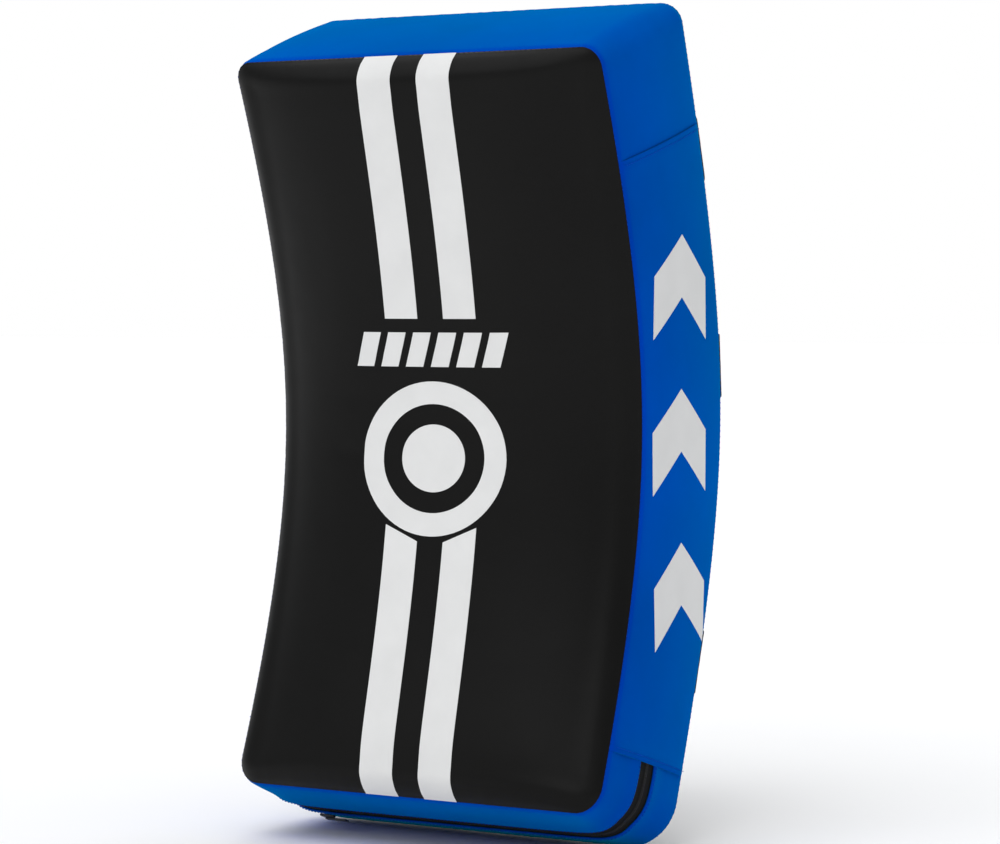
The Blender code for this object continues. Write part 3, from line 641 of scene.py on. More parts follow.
class Nodes:
    """A material's node tree, built a node at a time."""

    def __init__(self, name, roughness, metallic=0.0, specular=0.5, sheen=0.0):
        self.material = bpy.data.materials.new(name)
        self.material.use_nodes = True
        self.tree = self.material.node_tree
        self.shader = self.tree.nodes["Principled BSDF"]
        self.shader.inputs["Metallic"].default_value = metallic
        self.shader.inputs["Roughness"].default_value = roughness
        self.shader.inputs["Specular IOR Level"].default_value = specular
        self.shader.inputs["Sheen Weight"].default_value = sheen

    def add(self, kind, links=(), values=(), **settings):
        node = self.tree.nodes.new("ShaderNode" + kind)
        for key, value in settings.items():
            setattr(node, key, value)
        for key, value in dict(values).items():
            node.inputs[key].default_value = value
        for key, socket in dict(links).items():
            self.tree.links.new(socket, node.inputs[key])
        return node

    def place(self):
        return self.add("TexCoord").outputs["Object"]

    def noise(self, where, scale, detail=3.0, roughness=0.5):
        values = {"Scale": scale, "Detail": detail, "Roughness": roughness}
        return self.add("TexNoise", {"Vector": where}, values).outputs["Fac"]

    def cells(self, where, scale, feature="SMOOTH_F1"):
        node = self.add("TexVoronoi", {"Vector": where}, {"Scale": scale}, feature=feature)
        return node.outputs["Distance"]

    def mottle(self, noise, colour, low, high):
        """Base colour between two shares of a colour."""
        self.colour(self.ramp(noise, scaled(colour, low), scaled(colour, high), 0.3, 0.7))

    def math(self, operation, first, second=None):
        node = self.add("Math", operation=operation)
        for index, value in enumerate((first, second)):
            if value is None:
                continue
            if isinstance(value, (int, float)):
                node.inputs[index].default_value = value
            else:
                self.tree.links.new(value, node.inputs[index])
        return node.outputs[0]

    def ramp(self, fac, low, high, start=0.0, stop=1.0):
        node = self.add("ValToRGB", {"Fac": fac})
        node.color_ramp.elements[0].position = start
        node.color_ramp.elements[1].position = stop
        node.color_ramp.elements[0].color = (*low, 1)
        node.color_ramp.elements[1].color = (*high, 1)
        return node.outputs["Color"]

    def span(self, value, low, high):
        node = self.add("MapRange", {"Value": value}, {"To Min": low, "To Max": high})
        return node.outputs["Result"]

    def colour(self, socket):
        self.tree.links.new(socket, self.shader.inputs["Base Color"])

    def rough(self, socket):
        self.tree.links.new(socket, self.shader.inputs["Roughness"])

    def bump(self, heights):
        """Bumps laid over each other: (height socket, strength, distance), the coarsest first."""
        normal = None
        for height, strength, distance in heights:
            node = self.add("Bump", {"Height": height}, {"Strength": strength, "Distance": distance})
            if normal:
                self.tree.links.new(normal, node.inputs["Normal"])
            normal = node.outputs["Normal"]
        self.tree.links.new(normal, self.shader.inputs["Normal"])


GRAIN_SCALE = 950.0


def scaled(colour, share):
    return tuple(c * share for c in colour)


def leather(name, colour, roughness, specular, grain=0.10, sheen=0.0, tint=(1.0, 1.0, 1.0)):
    """Grained PU leather: a pebbled grain, soft dents from the foam, and faint wear in its gloss."""
    look = Nodes(name, roughness, specular=specular, sheen=sheen)
    look.shader.inputs["Sheen Tint"].default_value = (*tint, 1)
    where = look.place()
    look.mottle(look.noise(where, 6.0, 4.0), colour, 0.88, 1.14)
    look.rough(look.span(look.noise(where, 38.0, 5.0, 0.6), roughness - 0.07, roughness + 0.07))
    cells = look.cells(where, GRAIN_SCALE)
    fine = look.noise(where, 2200.0, 2.0)
    dents = look.noise(where, 11.0, 2.0)
    look.bump([(dents, 0.22, 0.004), (cells, grain, 0.0004), (fine, grain * 0.6, 0.0002)])
    return look.material


def woven(name, dark, light, across, along, depth=0.0004, roughness=0.78, sheen=0.02):
    """Woven webbing: warp ribs along it, with picks crossing over every other rib."""
    look = Nodes(name, roughness, specular=0.12, sheen=sheen)
    look.shader.inputs["Sheen Roughness"].default_value = 0.5
    held = look.add("Attribute", attribute_name="cloth").outputs["Vector"]
    parts = look.add("SeparateXYZ", {"Vector": held})
    warp = look.math("MULTIPLY", parts.outputs["X"], math.pi / across)
    weft = look.math("MULTIPLY", parts.outputs["Y"], math.pi / along)
    over = look.math("MULTIPLY", look.math("SINE", warp), look.math("SINE", weft))
    ribs = look.math("ABSOLUTE", look.math("SINE", warp))
    height = look.math("ADD", look.math("MULTIPLY", over, 0.35), look.math("MULTIPLY", ribs, 0.65))
    where = look.place()
    fuzz = look.noise(where, 900.0, 4.0, 0.7)
    worn = look.noise(where, 16.0, 3.0)
    # Colour: darker where the weave lies low between ribs and picks, which is painted shade in its hollows,
    # mixed with the yarn's fuzz and wear tone.
    shade = look.math("ADD", look.math("MULTIPLY", height, 0.55), look.math("MULTIPLY", fuzz, 0.45))
    shade = look.math("MULTIPLY", shade, look.span(worn, 0.75, 1.25))
    look.colour(look.ramp(shade, dark, light, 0.15, 0.95))
    look.rough(look.span(worn, roughness - 0.08, roughness + 0.08))
    look.bump([(height, 0.8, depth), (fuzz, 0.4, 0.0003)])
    return look.material


def printed(name, colour, roughness=0.42):
    """Screen print on leather: flat colour with a little mottle, and the grain showing through."""
    look = Nodes(name, roughness, specular=0.35)
    where = look.place()
    look.mottle(look.noise(where, 30.0, 5.0), colour, 0.95, 1.0)
    look.rough(look.span(look.noise(where, 60.0), roughness - 0.06, roughness + 0.08))
    cells = look.cells(where, GRAIN_SCALE)
    look.bump([(look.noise(where, 11.0, 2.0), 0.22, 0.004), (cells, 0.06, 0.0003)])
    return look.material


def thread(name, colour):
    look = Nodes(name, 0.7, specular=0.06)
    where = look.place()
    look.mottle(look.noise(where, 700.0, 2.0), colour, 0.7, 1.25)
    look.bump([(look.noise(where, 3000.0, 2.0), 0.3, 0.0001)])
    return look.material


def metal(name, colour, roughness):
    look = Nodes(name, roughness, metallic=1.0)
    where = look.place()
    look.mottle(look.noise(where, 120.0, 4.0), colour, 0.8, 1.15)
    look.rough(look.span(look.noise(where, 260.0, 5.0, 0.7), roughness - 0.08, roughness + 0.14))
    look.bump([(look.noise(where, 1500.0, 3.0), 0.08, 0.0001)])
    return look.material


def rubber(name, colour, roughness=0.5):
    look = Nodes(name, roughness, specular=0.35)
    where = look.place()
    look.mottle(look.noise(where, 90.0, 4.0), colour, 0.85, 1.2)
    look.rough(look.span(look.noise(where, 200.0, 4.0), roughness - 0.08, roughness + 0.1))
    look.bump([(look.noise(where, 1800.0, 2.0), 0.12, 0.0001)])
    return look.material


def foam(name, colour):
    look = Nodes(name, 0.9, specular=0.2)
    where = look.place()
    cells = look.cells(where, 600.0, "F1")
    # Each cell is darker towards its hollow middle: painted shade in the pores.
    look.colour(look.ramp(cells, scaled(colour, 0.7), colour, 0.0, 0.6))
    look.bump([(cells, 0.5, 0.0006)])
    return look.material


LOOKS = {
    # Lit and shaded copies of one black leather: the rear cover's base colour is painted lighter than the
    # front's, standing in for the brighter light on the back.
    "front_black": leather("front_black_leather", (0.0044, 0.0043, 0.0040), 0.44, 0.12),
    "rear_black": leather("rear_black_leather", (0.0108, 0.0108, 0.0106), 0.52, 0.17),
    "blue": leather("blue_leather", (0.0, 0.044, 0.46), 0.45, 0.0, 0.07, 0.36, (0.0, 0.70, 0.30)),
    "webbing": woven("black_webbing", (0.0006, 0.0006, 0.0005), (0.0092, 0.0089, 0.0080), 0.0016, 0.0024),
    "pad_cloth": woven("pad_cloth", (0.0024,) * 3, (0.0105,) * 3, 0.0011, 0.0013, 0.0002),
    "zip_tape": woven("zip_tape", (0.0014,) * 3, (0.0075, 0.0075, 0.0070), 0.0009, 0.0011, 0.0002),
    "coil": rubber("zip_coil", (0.0045, 0.0045, 0.0045), 0.45),
    "white": printed("white_print", (0.80, 0.80, 0.79)),
    "blue_thread": thread("blue_thread", (0.0, 0.055, 0.50)),
    "black_thread": thread("black_thread", (0.020, 0.020, 0.019)),
    "nickel": metal("dark_nickel", (0.035, 0.035, 0.038), 0.22),
    "piping": leather("piping_leather", (0.0095, 0.0095, 0.0092), 0.45, 0.3),
    "enamel": metal("black_enamel", (0.05, 0.05, 0.052), 0.35),
    "silver": metal("silver_edge", (0.62, 0.62, 0.64), 0.3),
    "foil": rubber("blue_foil", (0.02, 0.075, 0.30), 0.32),
    "label": rubber("label_rubber", (0.010, 0.010, 0.010), 0.45),
    "label_white": rubber("label_white", (0.70, 0.70, 0.68), 0.5),
    "foam": foam("foam", (0.55, 0.55, 0.52)),
}


# The covers


def make_cover(name, side, node, look):
    u = graded(WIDTH[side]) / WIDTH[side] * 2 - 1
    v = graded(HEIGHT[side]) / HEIGHT[side] * 2 - 1
    v, u = np.meshgrid(v, u, indexing="ij")
    obj = sheet_object(name, cover_point(side, u, v), look, "shield", flip=side > 0)
    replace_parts(obj, node)
    return obj


# The side band. A panel runs between two skewed seams; where it laps over its neighbour, its edge is folded.


def skewed(seam, left=False):
    """A seam's place on the rim at the strike face and at the back."""
    return tuple(4 - v for v in seam) if left else seam


def lap(distance):
    """How far a folded edge stands off, at a distance in from it."""
    fold = LAP_LIFT * np.exp(-((distance / LAP_REACH) ** 2))
    return fold * (1 - 0.8 * np.exp(-distance / 0.0011))


def panel_grid(start, end, depths, over):
    """Rim places, depths and lifts of a panel between two seams. over tells which ends lap over."""
    low, high = depths
    middle = (np.mean(start) + np.mean(end)) / 2
    depth_run = float(band_length(np.array(middle))) * (high - low)
    t_deep = graded(depth_run) / depth_run
    fine = np.linspace(np.mean(start), np.mean(end), 400)
    run = distances(band_point(fine, 0.5 + 0 * fine))
    stretch = [LAP_OVER if lapped else 0.0 for lapped in over]
    length = run[-1]
    places = graded(length + sum(stretch)) - stretch[0]
    share = np.interp(np.clip(places, 0, length), run, np.linspace(0, 1, len(run)))
    first_slope = (fine[1] - fine[0]) / (run[1] - run[0])
    last_slope = (fine[-1] - fine[-2]) / (run[-1] - run[-2])
    extra = np.minimum(places, 0) * first_slope + np.maximum(places - length, 0) * last_slope
    depth = low + (high - low) * t_deep
    share, depth_grid = np.meshgrid(share, depth, indexing="ij")
    extra = np.broadcast_to(extra[:, None], share.shape)
    a0 = start[0] + (start[1] - start[0]) * depth_grid
    a1 = end[0] + (end[1] - end[0]) * depth_grid
    a = a0 + (a1 - a0) * share + extra
    places = np.broadcast_to(places[:, None], share.shape)
    lift = np.zeros_like(share)
    for lapped, from_end in ((over[0], places + stretch[0]), (over[1], length + stretch[1] - places)):
        lift = lift + (lap(from_end) if lapped else -UNDERLAP * np.exp(-((from_end / 0.0045) ** 2)))
    return a, depth_grid, lift


def make_panel(name, node, start, end, depths=(0.0, 1.0), over=(False, False), fold=(False, False)):
    a, depth, lift = panel_grid(start, end, depths, over)
    deep = band_length(a)
    from_rim = np.minimum(depth, 1 - depth) * deep
    lift = lift * (1 - np.exp(-((from_rim / 0.008) ** 2)))
    if fold[0]:
        lift = lift + lap((depth - depths[0]) * deep) * 0.8
    if fold[1]:
        lift = lift + lap((depths[1] - depth) * deep) * 0.8
    obj = sheet_object(name, band_point(a, depth, lift), LOOKS["blue"], "shield")
    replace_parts(obj, node)
    return obj


def edge_row(seam, inset):
    """A row of stitches across the band, inset from a seam."""
    depth = np.linspace(0.035, 0.965, 40)
    a = seam[0] + (seam[1] - seam[0]) * depth
    per_a = np.linalg.norm(band_point(a + 0.002, depth) - band_point(a - 0.002, depth), axis=-1) / 0.004
    a = a + inset / per_a
    return stitch_run(band_point(a, depth, LAP_LIFT + 0.0002), band_normal(a), LEATHER_PITCH)


def rim_row(start, end, depth, lift):
    """A row of stitches along the band, at one depth."""
    a = np.linspace(start, end, 400)
    return stitch_run(band_point(a, depth + 0 * a, lift), band_normal(a), LEATHER_PITCH)


def make_side_band():
    right_top, right_low = skewed(RIGHT_TOP_SEAM), skewed(RIGHT_BOTTOM_SEAM)
    left_top, left_low = skewed(LEFT_TOP_SEAM, True), skewed(LEFT_BOTTOM_SEAM, True)
    hem = skewed(CORNER_HEM, True)
    zip_end = tuple(value + 8 for value in right_low)
    make_panel("right_side", "right_side_panel", right_low, right_top, over=(True, True))
    make_panel("top_end", "top_end_panel", right_top, left_top)
    make_panel("left_side", "left_side_panel", left_top, left_low, over=(True, True))
    make_panel("left_corner", "left_corner_panel", left_low, hem, over=(False, True))
    zip_low, zip_high = ZIP_MIDDLE - ZIP_HALF, ZIP_MIDDLE + ZIP_HALF
    make_panel("bottom_front", "bottom_front_strip", hem, zip_end, (0.0, zip_low), fold=(False, True))
    make_panel("bottom_rear", "bottom_rear_strip", hem, zip_end, (zip_high, 1.0), fold=(True, False))
    insets = ((right_low, 0.0010), (right_top, -0.0010), (left_top, 0.0010), (left_low, -0.0010),
              (hem, -0.0014))
    rows = [edge_row(seam, inset) for seam, inset in insets]
    reach = 0.0028 / float(band_length(np.array(6.0)))
    for depth in (zip_low - reach, zip_high + reach):
        rows.append(rim_row(hem[0] + 0.05, zip_end[0] - 0.01, depth, LAP_LIFT * 0.8))
    stitches("side_band_stitching", rows, 0.00036, "blue_thread")
    ticks = []
    for side, depth in ((-1, 0.0), (1, 1.0)):
        a = np.linspace(-1, 7, 1500)
        base = seam_point(side, *uv_at(a))
        way = rim(side, base)[1]
        out = outward(side, base[:, 2])
        ticks.append(stitch_run(band_point(a, depth + 0 * a), unit(out + way), 0.0052, 0.42))
    stitches("rim_stitching", ticks, 0.00028, "blue_thread")
    make_zip(hem, zip_end, zip_low, zip_high)


def make_zip(hem, zip_end, zip_low, zip_high):
    """Two woven tapes that meet over a hidden coil, whose turns show as fine ribs along the middle."""
    start, end = np.mean(hem) + 0.012, zip_end[0] - 0.004
    under, gap = 0.012, 0.0012
    spans = {"zip_tape_front": (zip_low - under, ZIP_MIDDLE - gap),
             "zip_tape_rear": (ZIP_MIDDLE + gap, zip_high + under)}
    for node, (low, high) in spans.items():
        a, depth = np.meshgrid(np.linspace(start, end, 260), np.linspace(low, high, 9), indexing="ij")
        off_middle = abs(depth - ZIP_MIDDLE) * band_length(a)
        lift = -0.0009 + 0.0007 * np.exp(-((off_middle / 0.0034) ** 2))
        points = band_point(a, depth, lift)
        run = distances(points[:, 4])
        cloth = np.stack([off_middle, np.broadcast_to(run[:, None], a.shape)], -1)
        obj = sheet_object(node + "_cloth", points, LOOKS["zip_tape"], "shield",
                           thick=0.0008, cloth=cloth)
        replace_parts(obj, node)
    a = np.linspace(start, end, 1200)
    turns = []
    for sign in (-1, 1):
        reach = 0.0011 / band_length(a)
        path = band_point(a, ZIP_MIDDLE + sign * reach, -0.00025)
        middle, along, normal, half = stitch_run(path, band_normal(a), 0.0014)
        across = unit(np.cross(along, normal)) * sign
        turns.append((middle, unit(across + along * 0.35), normal, half * 0 + 0.0013))
    obj = stitches("zip_coil_turns", turns, 0.00042, "coil")
    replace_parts(obj, "zip_coil")
    for node in ("zip_stop_left", "zip_stop_right"):
        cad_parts[node].data.materials[0] = LOOKS["enamel"]


def bevelled_node(name, node, width):
    """The zip's slider or pull, whose node and body share a name, with its CAD edges rounded."""
    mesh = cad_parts[node].data.copy()
    mesh.materials.clear()
    work = bmesh.new()
    work.from_mesh(mesh)
    bmesh.ops.remove_doubles(work, verts=work.verts, dist=1e-6)
    sharp = [edge for edge in work.edges if edge.is_manifold and edge.calc_face_angle(0) > math.radians(25)]
    bmesh.ops.bevel(work, geom=sharp, offset=width, segments=3, affect="EDGES", profile=0.5)
    work.to_mesh(mesh)
    work.free()
    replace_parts(place_mesh(name, mesh, LOOKS["enamel"], node, 50), node)


# Bands and the label


def band_level(u, middle, share):
    """The v of a band's point, share of its width from its middle line, so that its width is true."""
    step = 1e-3
    apart = face_point(1, u, middle + step) - face_point(1, u, middle - step)
    return middle + share * BAND_WIDTH / (np.linalg.norm(apart, axis=-1) / (2 * step))


def near_seam(u):
    """The share of its lift that a band keeps as it goes into the side seams."""
    return 1 - 0.85 * np.exp(-((1 - abs(u)) * WIDTH[1] / 2 / 0.006))


BAND_SHARES = (-0.5, -0.497, -0.47, -0.4, -0.25, -0.1, 0.0, 0.1, 0.25, 0.4, 0.47, 0.497, 0.5)
BAND_LIFTS = (0.45, 0.85, 1.0, 1.0, 1.0, 1.0, 1.0, 1.0, 1.0, 1.0, 1.0, 0.85, 0.45)


def make_bands():
    runs = []
    for name, middle in BANDS.items():
        u = np.linspace(-0.997, 0.997, 110)
        u_grid, share = np.meshgrid(u, BAND_SHARES, indexing="ij")
        v = band_level(u_grid, middle, share)
        wave = 0.00025 * np.sin(u_grid * 23 + middle * 9) * np.cos(share * 3)
        lift = (BAND_LIFT + WEBBING) * np.array(BAND_LIFTS) * near_seam(u_grid) + wave
        outer = cover_point(1, u_grid, v, lift)
        inner = cover_point(1, u_grid, v, 0.0002 * (1 + 0 * v))
        cloth = np.stack([share * BAND_WIDTH, u_grid * WIDTH[1] / 2], -1)
        obj = slab_object(name + "_webbing", outer, inner, LOOKS["webbing"], "black_webbing", "shield", cloth)
        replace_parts(obj, name)
        for edge in (-0.44, 0.44):
            row = u[abs(u) < 0.975]
            level = band_level(row, middle, edge + 0 * row)
            over = cover_point(1, row, level, (BAND_LIFT + WEBBING) * near_seam(row) + 0.0001)
            runs.append(stitch_run(over, cover_normal(1, row, level), WEBBING_PITCH))
    stitches("band_stitching", runs, 0.00034)


def back_point(x, v, lift):
    """A point off the finished back at x, straight out in the YZ plane."""
    u = np.asarray(x, float) / (WIDTH[1] / 2)
    point = face_point(1, u, v)
    point[..., 0] = x
    return point + outward(1, v * HEIGHT[1] / 2) * column(lift)


def label_place(s, t, lift):
    """The label's own plane, s across and t up from its middle, laid on the back."""
    middle = sum(LABEL_SPAN) / 2
    span = LABEL_SPAN[1] - LABEL_SPAN[0]
    v = middle + t / (HEIGHT[1] / 2)
    lean = LABEL_LEAN * (v - middle) / span
    return cover_point(1, (LABEL_X + s + lean) / (WIDTH[1] / 2), v, lift)


def label_piece(name, loops, lifts, look):
    return inlay(name, loops, label_place, lifts, LOOKS[look], "shield", LABEL_CELL)


def make_label():
    middle = sum(LABEL_SPAN) / 2
    half_height = (LABEL_SPAN[1] - LABEL_SPAN[0]) * HEIGHT[1] / 4
    half_width = LABEL_WIDTH / 2
    outer = rounded_box(-half_width, -half_height, half_width, half_height, 0.004)
    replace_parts(label_piece("label_patch_rubber", [outer], (0.0004, 0.0026), "label"), "label_patch")
    edge = 0.0022
    hole = rounded_box(-half_width + edge, -half_height + edge, half_width - edge, half_height - edge, 0.003)
    label_piece("label_border", [outer, hole], (0.0024, 0.0036), "label")
    bar_low, bar_high = [(level - middle) * HEIGHT[1] / 2 for level in LABEL_BAR_SPAN]
    bar = rounded_box(-0.0365, bar_low, 0.0365, bar_high, 0.001)
    inner = rounded_box(-0.0350, bar_low + 0.0016, 0.0350, bar_high - 0.0016, 0.0006)
    rim_piece = label_piece("label_bar_edge", [bar, inner], (0.0024, 0.0034), "silver")
    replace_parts(rim_piece, "label_bar_frame")
    field = label_piece("label_bar_field", [inner], (0.0024, 0.0031), "foil")
    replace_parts(field, "label_bar_inset")
    centre, bar_mid = 0.003, (bar_low + bar_high) / 2
    shapes = [("label_ring", [circle(0, centre, 0.0255), circle(0, centre, 0.0180)]),
              ("label_dot", [circle(0, centre, 0.0090)]),
              ("label_line", [rounded_box(-0.024, bar_mid - 0.0007, 0.024, bar_mid + 0.0007, 0.0005)])]
    for k, x in enumerate((-0.0280, -0.0140, 0.0, 0.0140)):
        slant = [(x, 0.0330), (x + 0.0100, 0.0330), (x + 0.0135, 0.0435), (x + 0.0035, 0.0435)]
        shapes.append((f"label_slant_{k + 1}", [slant]))
    for name, loops in shapes:
        label_piece(name, loops, (0.0024, 0.0033), "label_white")


# Printed shapes: plain bars, stripes, a round target and chevrons


def front_place(x, z, lift):
    return cover_point(-1, x / (WIDTH[-1] / 2), z / (HEIGHT[-1] / 2), lift)


def side_place(sign):
    """Places on a side by (y, z): the rim place and depth are found by a few corrections."""
    def place(y, z, lift):
        v, depth = z / 0.355, 0.5 + 0 * z
        for _ in range(8):
            low, high = HEIGHT[-1] / 2, HEIGHT[1] / 2
            front, rear = seam_y(-1, v * low), seam_y(1, v * high)
            depth = (y - front) / (rear - front)
            v = z / (low + (high - low) * depth)
        a = v if sign > 0 else 4 - v
        return band_point(a, depth, lift)
    return place


def make_stripe(name, x_low, x_high, ends, upward):
    """A stripe between a slanted or square end and the seam."""
    stop = HEIGHT[-1] / 2 * (1 if upward else -1)
    across = np.linspace(x_low, x_high, 9)
    z_end = np.interp(across, (x_low, x_high), ends)
    share, x = np.meshgrid(graded(1.0, cell=0.012), across, indexing="ij")
    z = z_end + (stop - z_end) * share
    outer = front_place(x, z, PRINT[1] + 0 * x)
    inner = front_place(x, z, PRINT[0] + 0 * x)
    slab_object(name, outer, inner, LOOKS["white"], "black_leather", "shield", flip=not upward)


def print_piece(name, loops, place):
    inlay(name, loops, place, PRINT, LOOKS["white"], "shield")


def make_front_print():
    left, right = (-0.047, -0.0125), (0.0145, 0.048)
    make_stripe("upper_stripe_left", *left, (0.104, 0.104), True)
    make_stripe("upper_stripe_right", *right, (0.104, 0.104), True)
    make_stripe("lower_stripe_left", *left, (-0.096, -0.111), False)
    make_stripe("lower_stripe_right", *right, (-0.111, -0.096), False)
    for k in range(6):
        x, slant = -0.081 + 0.0265 * k, 0.010
        bar = [(x, 0.058), (x + 0.0185, 0.058), (x + 0.0185 + slant, 0.091), (x + slant, 0.091)]
        print_piece(f"front_bar_{k + 1}", [bar], front_place)
    centre = -0.031
    print_piece("target_ring", [circle(0, centre, 0.075), circle(0, centre, 0.053)], front_place)
    print_piece("target_middle", [circle(0, centre, 0.033)], front_place)


def make_side_print():
    for sign, side in ((1, "right"), (-1, "left")):
        for k, base in enumerate((0.078, -0.060, -0.198)):
            low_y, high_y, tall, thick = -0.062, 0.036, 0.038, 0.056
            tip = (low_y + high_y) / 2
            outline = [(low_y, base), (tip, base + tall), (high_y, base), (high_y, base + thick),
                       (tip, base + tall + thick), (low_y, base + thick)]
            print_piece(f"{side}_chevron_{k + 1}", [outline], side_place(sign))


# Webbing that stands off the back


def webbing_ring(width, thick, columns=12):
    """A flat webbing's cross-section as (across, up) pairs, with its selvedges rounded."""
    half = width / 2
    shares = np.linspace(-1, 1, columns)
    low = [(share * (half - 0.35 * thick), 0.0) for share in shares]
    high = [(share * (half - 0.35 * thick), thick) for share in shares[::-1]]
    right = [(half, thick * 0.3), (half, thick * 0.7)]
    left = [(-half, thick * 0.7), (-half, thick * 0.3)]
    return np.array(low + right + high + left)


def draped(centre, section, weight):
    """How far each point of a section moves so that the webbing follows the back's crown across it."""
    x, v = centre[0], np.full(len(section), centre[2] / (HEIGHT[1] / 2))
    lift = np.zeros(len(section))
    here = back_point(np.full(len(section), x), v, lift)
    there = back_point(x + section[:, 0], v, lift)
    there[:, 0] = here[:, 0]
    return (there - here) * weight


def webbing(name, centres, across, out, width, lift, body=None, thick=WEBBING, start=0.0, drape=None):
    """Webbing along a path. Each point has its directions across and out, and may have its own width."""
    centres = np.asarray(centres, float)
    widths = np.broadcast_to(width, len(centres))
    lifts = np.broadcast_to(lift, len(centres))
    run = start + distances(centres)
    rings, cloth = [], []
    for k, centre in enumerate(centres):
        section = webbing_ring(widths[k], thick)
        ring = centre + across[k] * section[:, :1] + out[k] * (section[:, 1:] + lifts[k])
        rings.append(ring if drape is None else ring + draped(centre, section, drape[k]))
        cloth.append(np.stack([section[:, 0], np.full(len(section), run[k])], -1))
    return loft_object(name, rings, LOOKS["webbing"], body, np.array(cloth))


def handle_rise(x):
    share = np.minimum(abs(x - HANDLE_X) / HANDLE_HALF, 1)
    return HANDLE_RISE * (1 - share**HANDLE_SQUARENESS)


def handle_path(x):
    """The handle webbing's underside at x, with the way out and the way up there."""
    middle = BANDS["top_band"]
    rise = handle_rise(x)

    def route(at):
        return back_point(at, middle + 0 * at, BAND_LIFT + WEBBING + HANDLE_ON_BAND + handle_rise(at))

    along = unit(route(x + 1e-3) - route(x - 1e-3))
    upward = unit(np.cross(ACROSS, outward(1, np.array(middle * HEIGHT[1] / 2))))
    upward = upward if upward[2] > 0 else -upward
    out = unit(np.cross(np.broadcast_to(upward, along.shape), along))
    out = out * np.sign(out[..., 1:2])
    return route(x) - upward * column(HANDLE_DROP * rise / HANDLE_RISE), out, upward


def make_handle():
    for sign, side in ((-1, "left"), (1, "right")):
        far = HANDLE_HALF + HANDLE_TAIL
        x = HANDLE_X + sign * np.linspace(far, 0.070, 60)
        centres, out, upward = handle_path(x)
        away = abs(x - HANDLE_X)
        narrow = np.clip((0.100 - away) / 0.012, 0, 1)
        width = HANDLE_HEIGHT - 0.006 * narrow
        lift = np.interp(away, (0.090, 0.112), (0.0026, 0.0))
        ups = np.broadcast_to(upward, out.shape)
        obj = webbing(f"handle_webbing_{side}", centres, ups, out, width, lift)
        nodes = [f"grab_handle_end_{side}"] + (["grab_handle_strap"] if side == "left" else [])
        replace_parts(obj, *nodes)
        turn = record_frame(handle_path(np.array([HANDLE_X + sign * 0.106]))[0][0])
        held = record_frame(handle_path(np.array([HANDLE_X + sign * 0.092]))[0][0])
        turn[1:] = held[1:] = 0
        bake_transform(obj)
        stitches(f"handle_stitching_{side}", handle_end_rows(sign), 0.00038)
    make_sleeve()


def handle_end_rows(sign, half=0.021):
    """A crossed box on one end of the handle's webbing, and one more row where the handle leaves the back."""
    runs = []
    bar = 0.1085
    for (x0, h0), (x1, h1) in [*crossed_box(0.111, 0.138, half), ((bar, -half), (bar, half))]:
        share = np.linspace(0, 1, 24)
        x = HANDLE_X + sign * (x0 + (x1 - x0) * share)
        centres, out, upward = handle_path(x)
        path = centres + upward * column(h0 + (h1 - h0) * share) + out * (WEBBING + 0.0002)
        runs.append(stitch_run(path, out, LEATHER_PITCH))
    return runs


def make_sleeve():
    """The padded grip: fabric round the webbing, soft at its ends and creased where it bends."""
    sides = 40
    x = HANDLE_X + np.concatenate([-SLEEVE_HALF + np.array([0.0, 0.0006, 0.0016, 0.0032, 0.0056]),
                                   np.linspace(-SLEEVE_HALF + 0.009, SLEEVE_HALF - 0.009, 70),
                                   SLEEVE_HALF - np.array([0.0056, 0.0032, 0.0016, 0.0006, 0.0])])
    centres, out, upward = handle_path(x)
    away = abs(x - HANDLE_X)
    from_end = np.clip((SLEEVE_HALF - away) / 0.008, 0, 1)
    full = np.sqrt(1 - (1 - from_end) ** 2)
    rings, cloth = [], []
    turn = math.tau * np.arange(sides) / sides
    tall = np.sign(np.sin(turn)) * abs(np.sin(turn)) ** 0.55
    deep = np.sign(np.cos(turn)) * abs(np.cos(turn)) ** 0.75
    run = distances(centres)
    for k in range(len(x)):
        bend = math.exp(-(((away[k] - 0.080) / 0.012) ** 2))
        crease = 0.0007 * bend * np.sin(run[k] * 900 + 1.5 * np.sin(turn)) * (0.5 + 0.5 * abs(deep))
        plump = 0.0006 * np.sin(run[k] * 61 + 2 * np.cos(turn)) + crease
        half_deep = SLEEVE_DEPTH / 2 * (0.55 + 0.45 * full[k])
        half_tall = SLEEVE_HEIGHT / 2 * (0.93 + 0.07 * full[k])
        lift = SLEEVE_DEPTH / 2 - 0.001 + deep * (half_deep + plump)
        rings.append(centres[k] + out[k] * lift[:, None] + upward * (tall * (half_tall + plump))[:, None])
        cloth.append(np.stack([turn / math.tau * 0.12, np.full(sides, run[k])], -1))
    sleeve = loft_object("grab_sleeve", rings, LOOKS["webbing"], "grab_handle",
                         np.array(cloth))
    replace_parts(sleeve, "grab_handle_sleeve", "grab_handle_core")
    rows = []
    for share in (-1, 1):
        ends = HANDLE_X + share * (SLEEVE_HALF - 0.0075) + np.zeros(24)
        centre, way, upward = handle_path(ends)
        height = np.linspace(-0.46, 0.46, 24) * SLEEVE_HEIGHT
        skin = SLEEVE_DEPTH - 0.0016
        path = centre + upward * column(height) + way * skin
        rows.append(stitch_run(path, way, LEATHER_PITCH))
    stitches("grab_sleeve_stitching", rows, 0.00036, body="grab_handle")


# Forearm loops


def curve_through(points, steps):
    points = np.asarray(points, float)
    made = []
    for i in range(len(points) - 1):
        near = [points[min(max(i + k, 0), len(points) - 1)] for k in (-1, 0, 1, 2)]
        for k in range(steps):
            made.append(sum(p * w for p, w in zip(near, spline_weights(k / steps))))
    return np.array(made + [points[-1]])


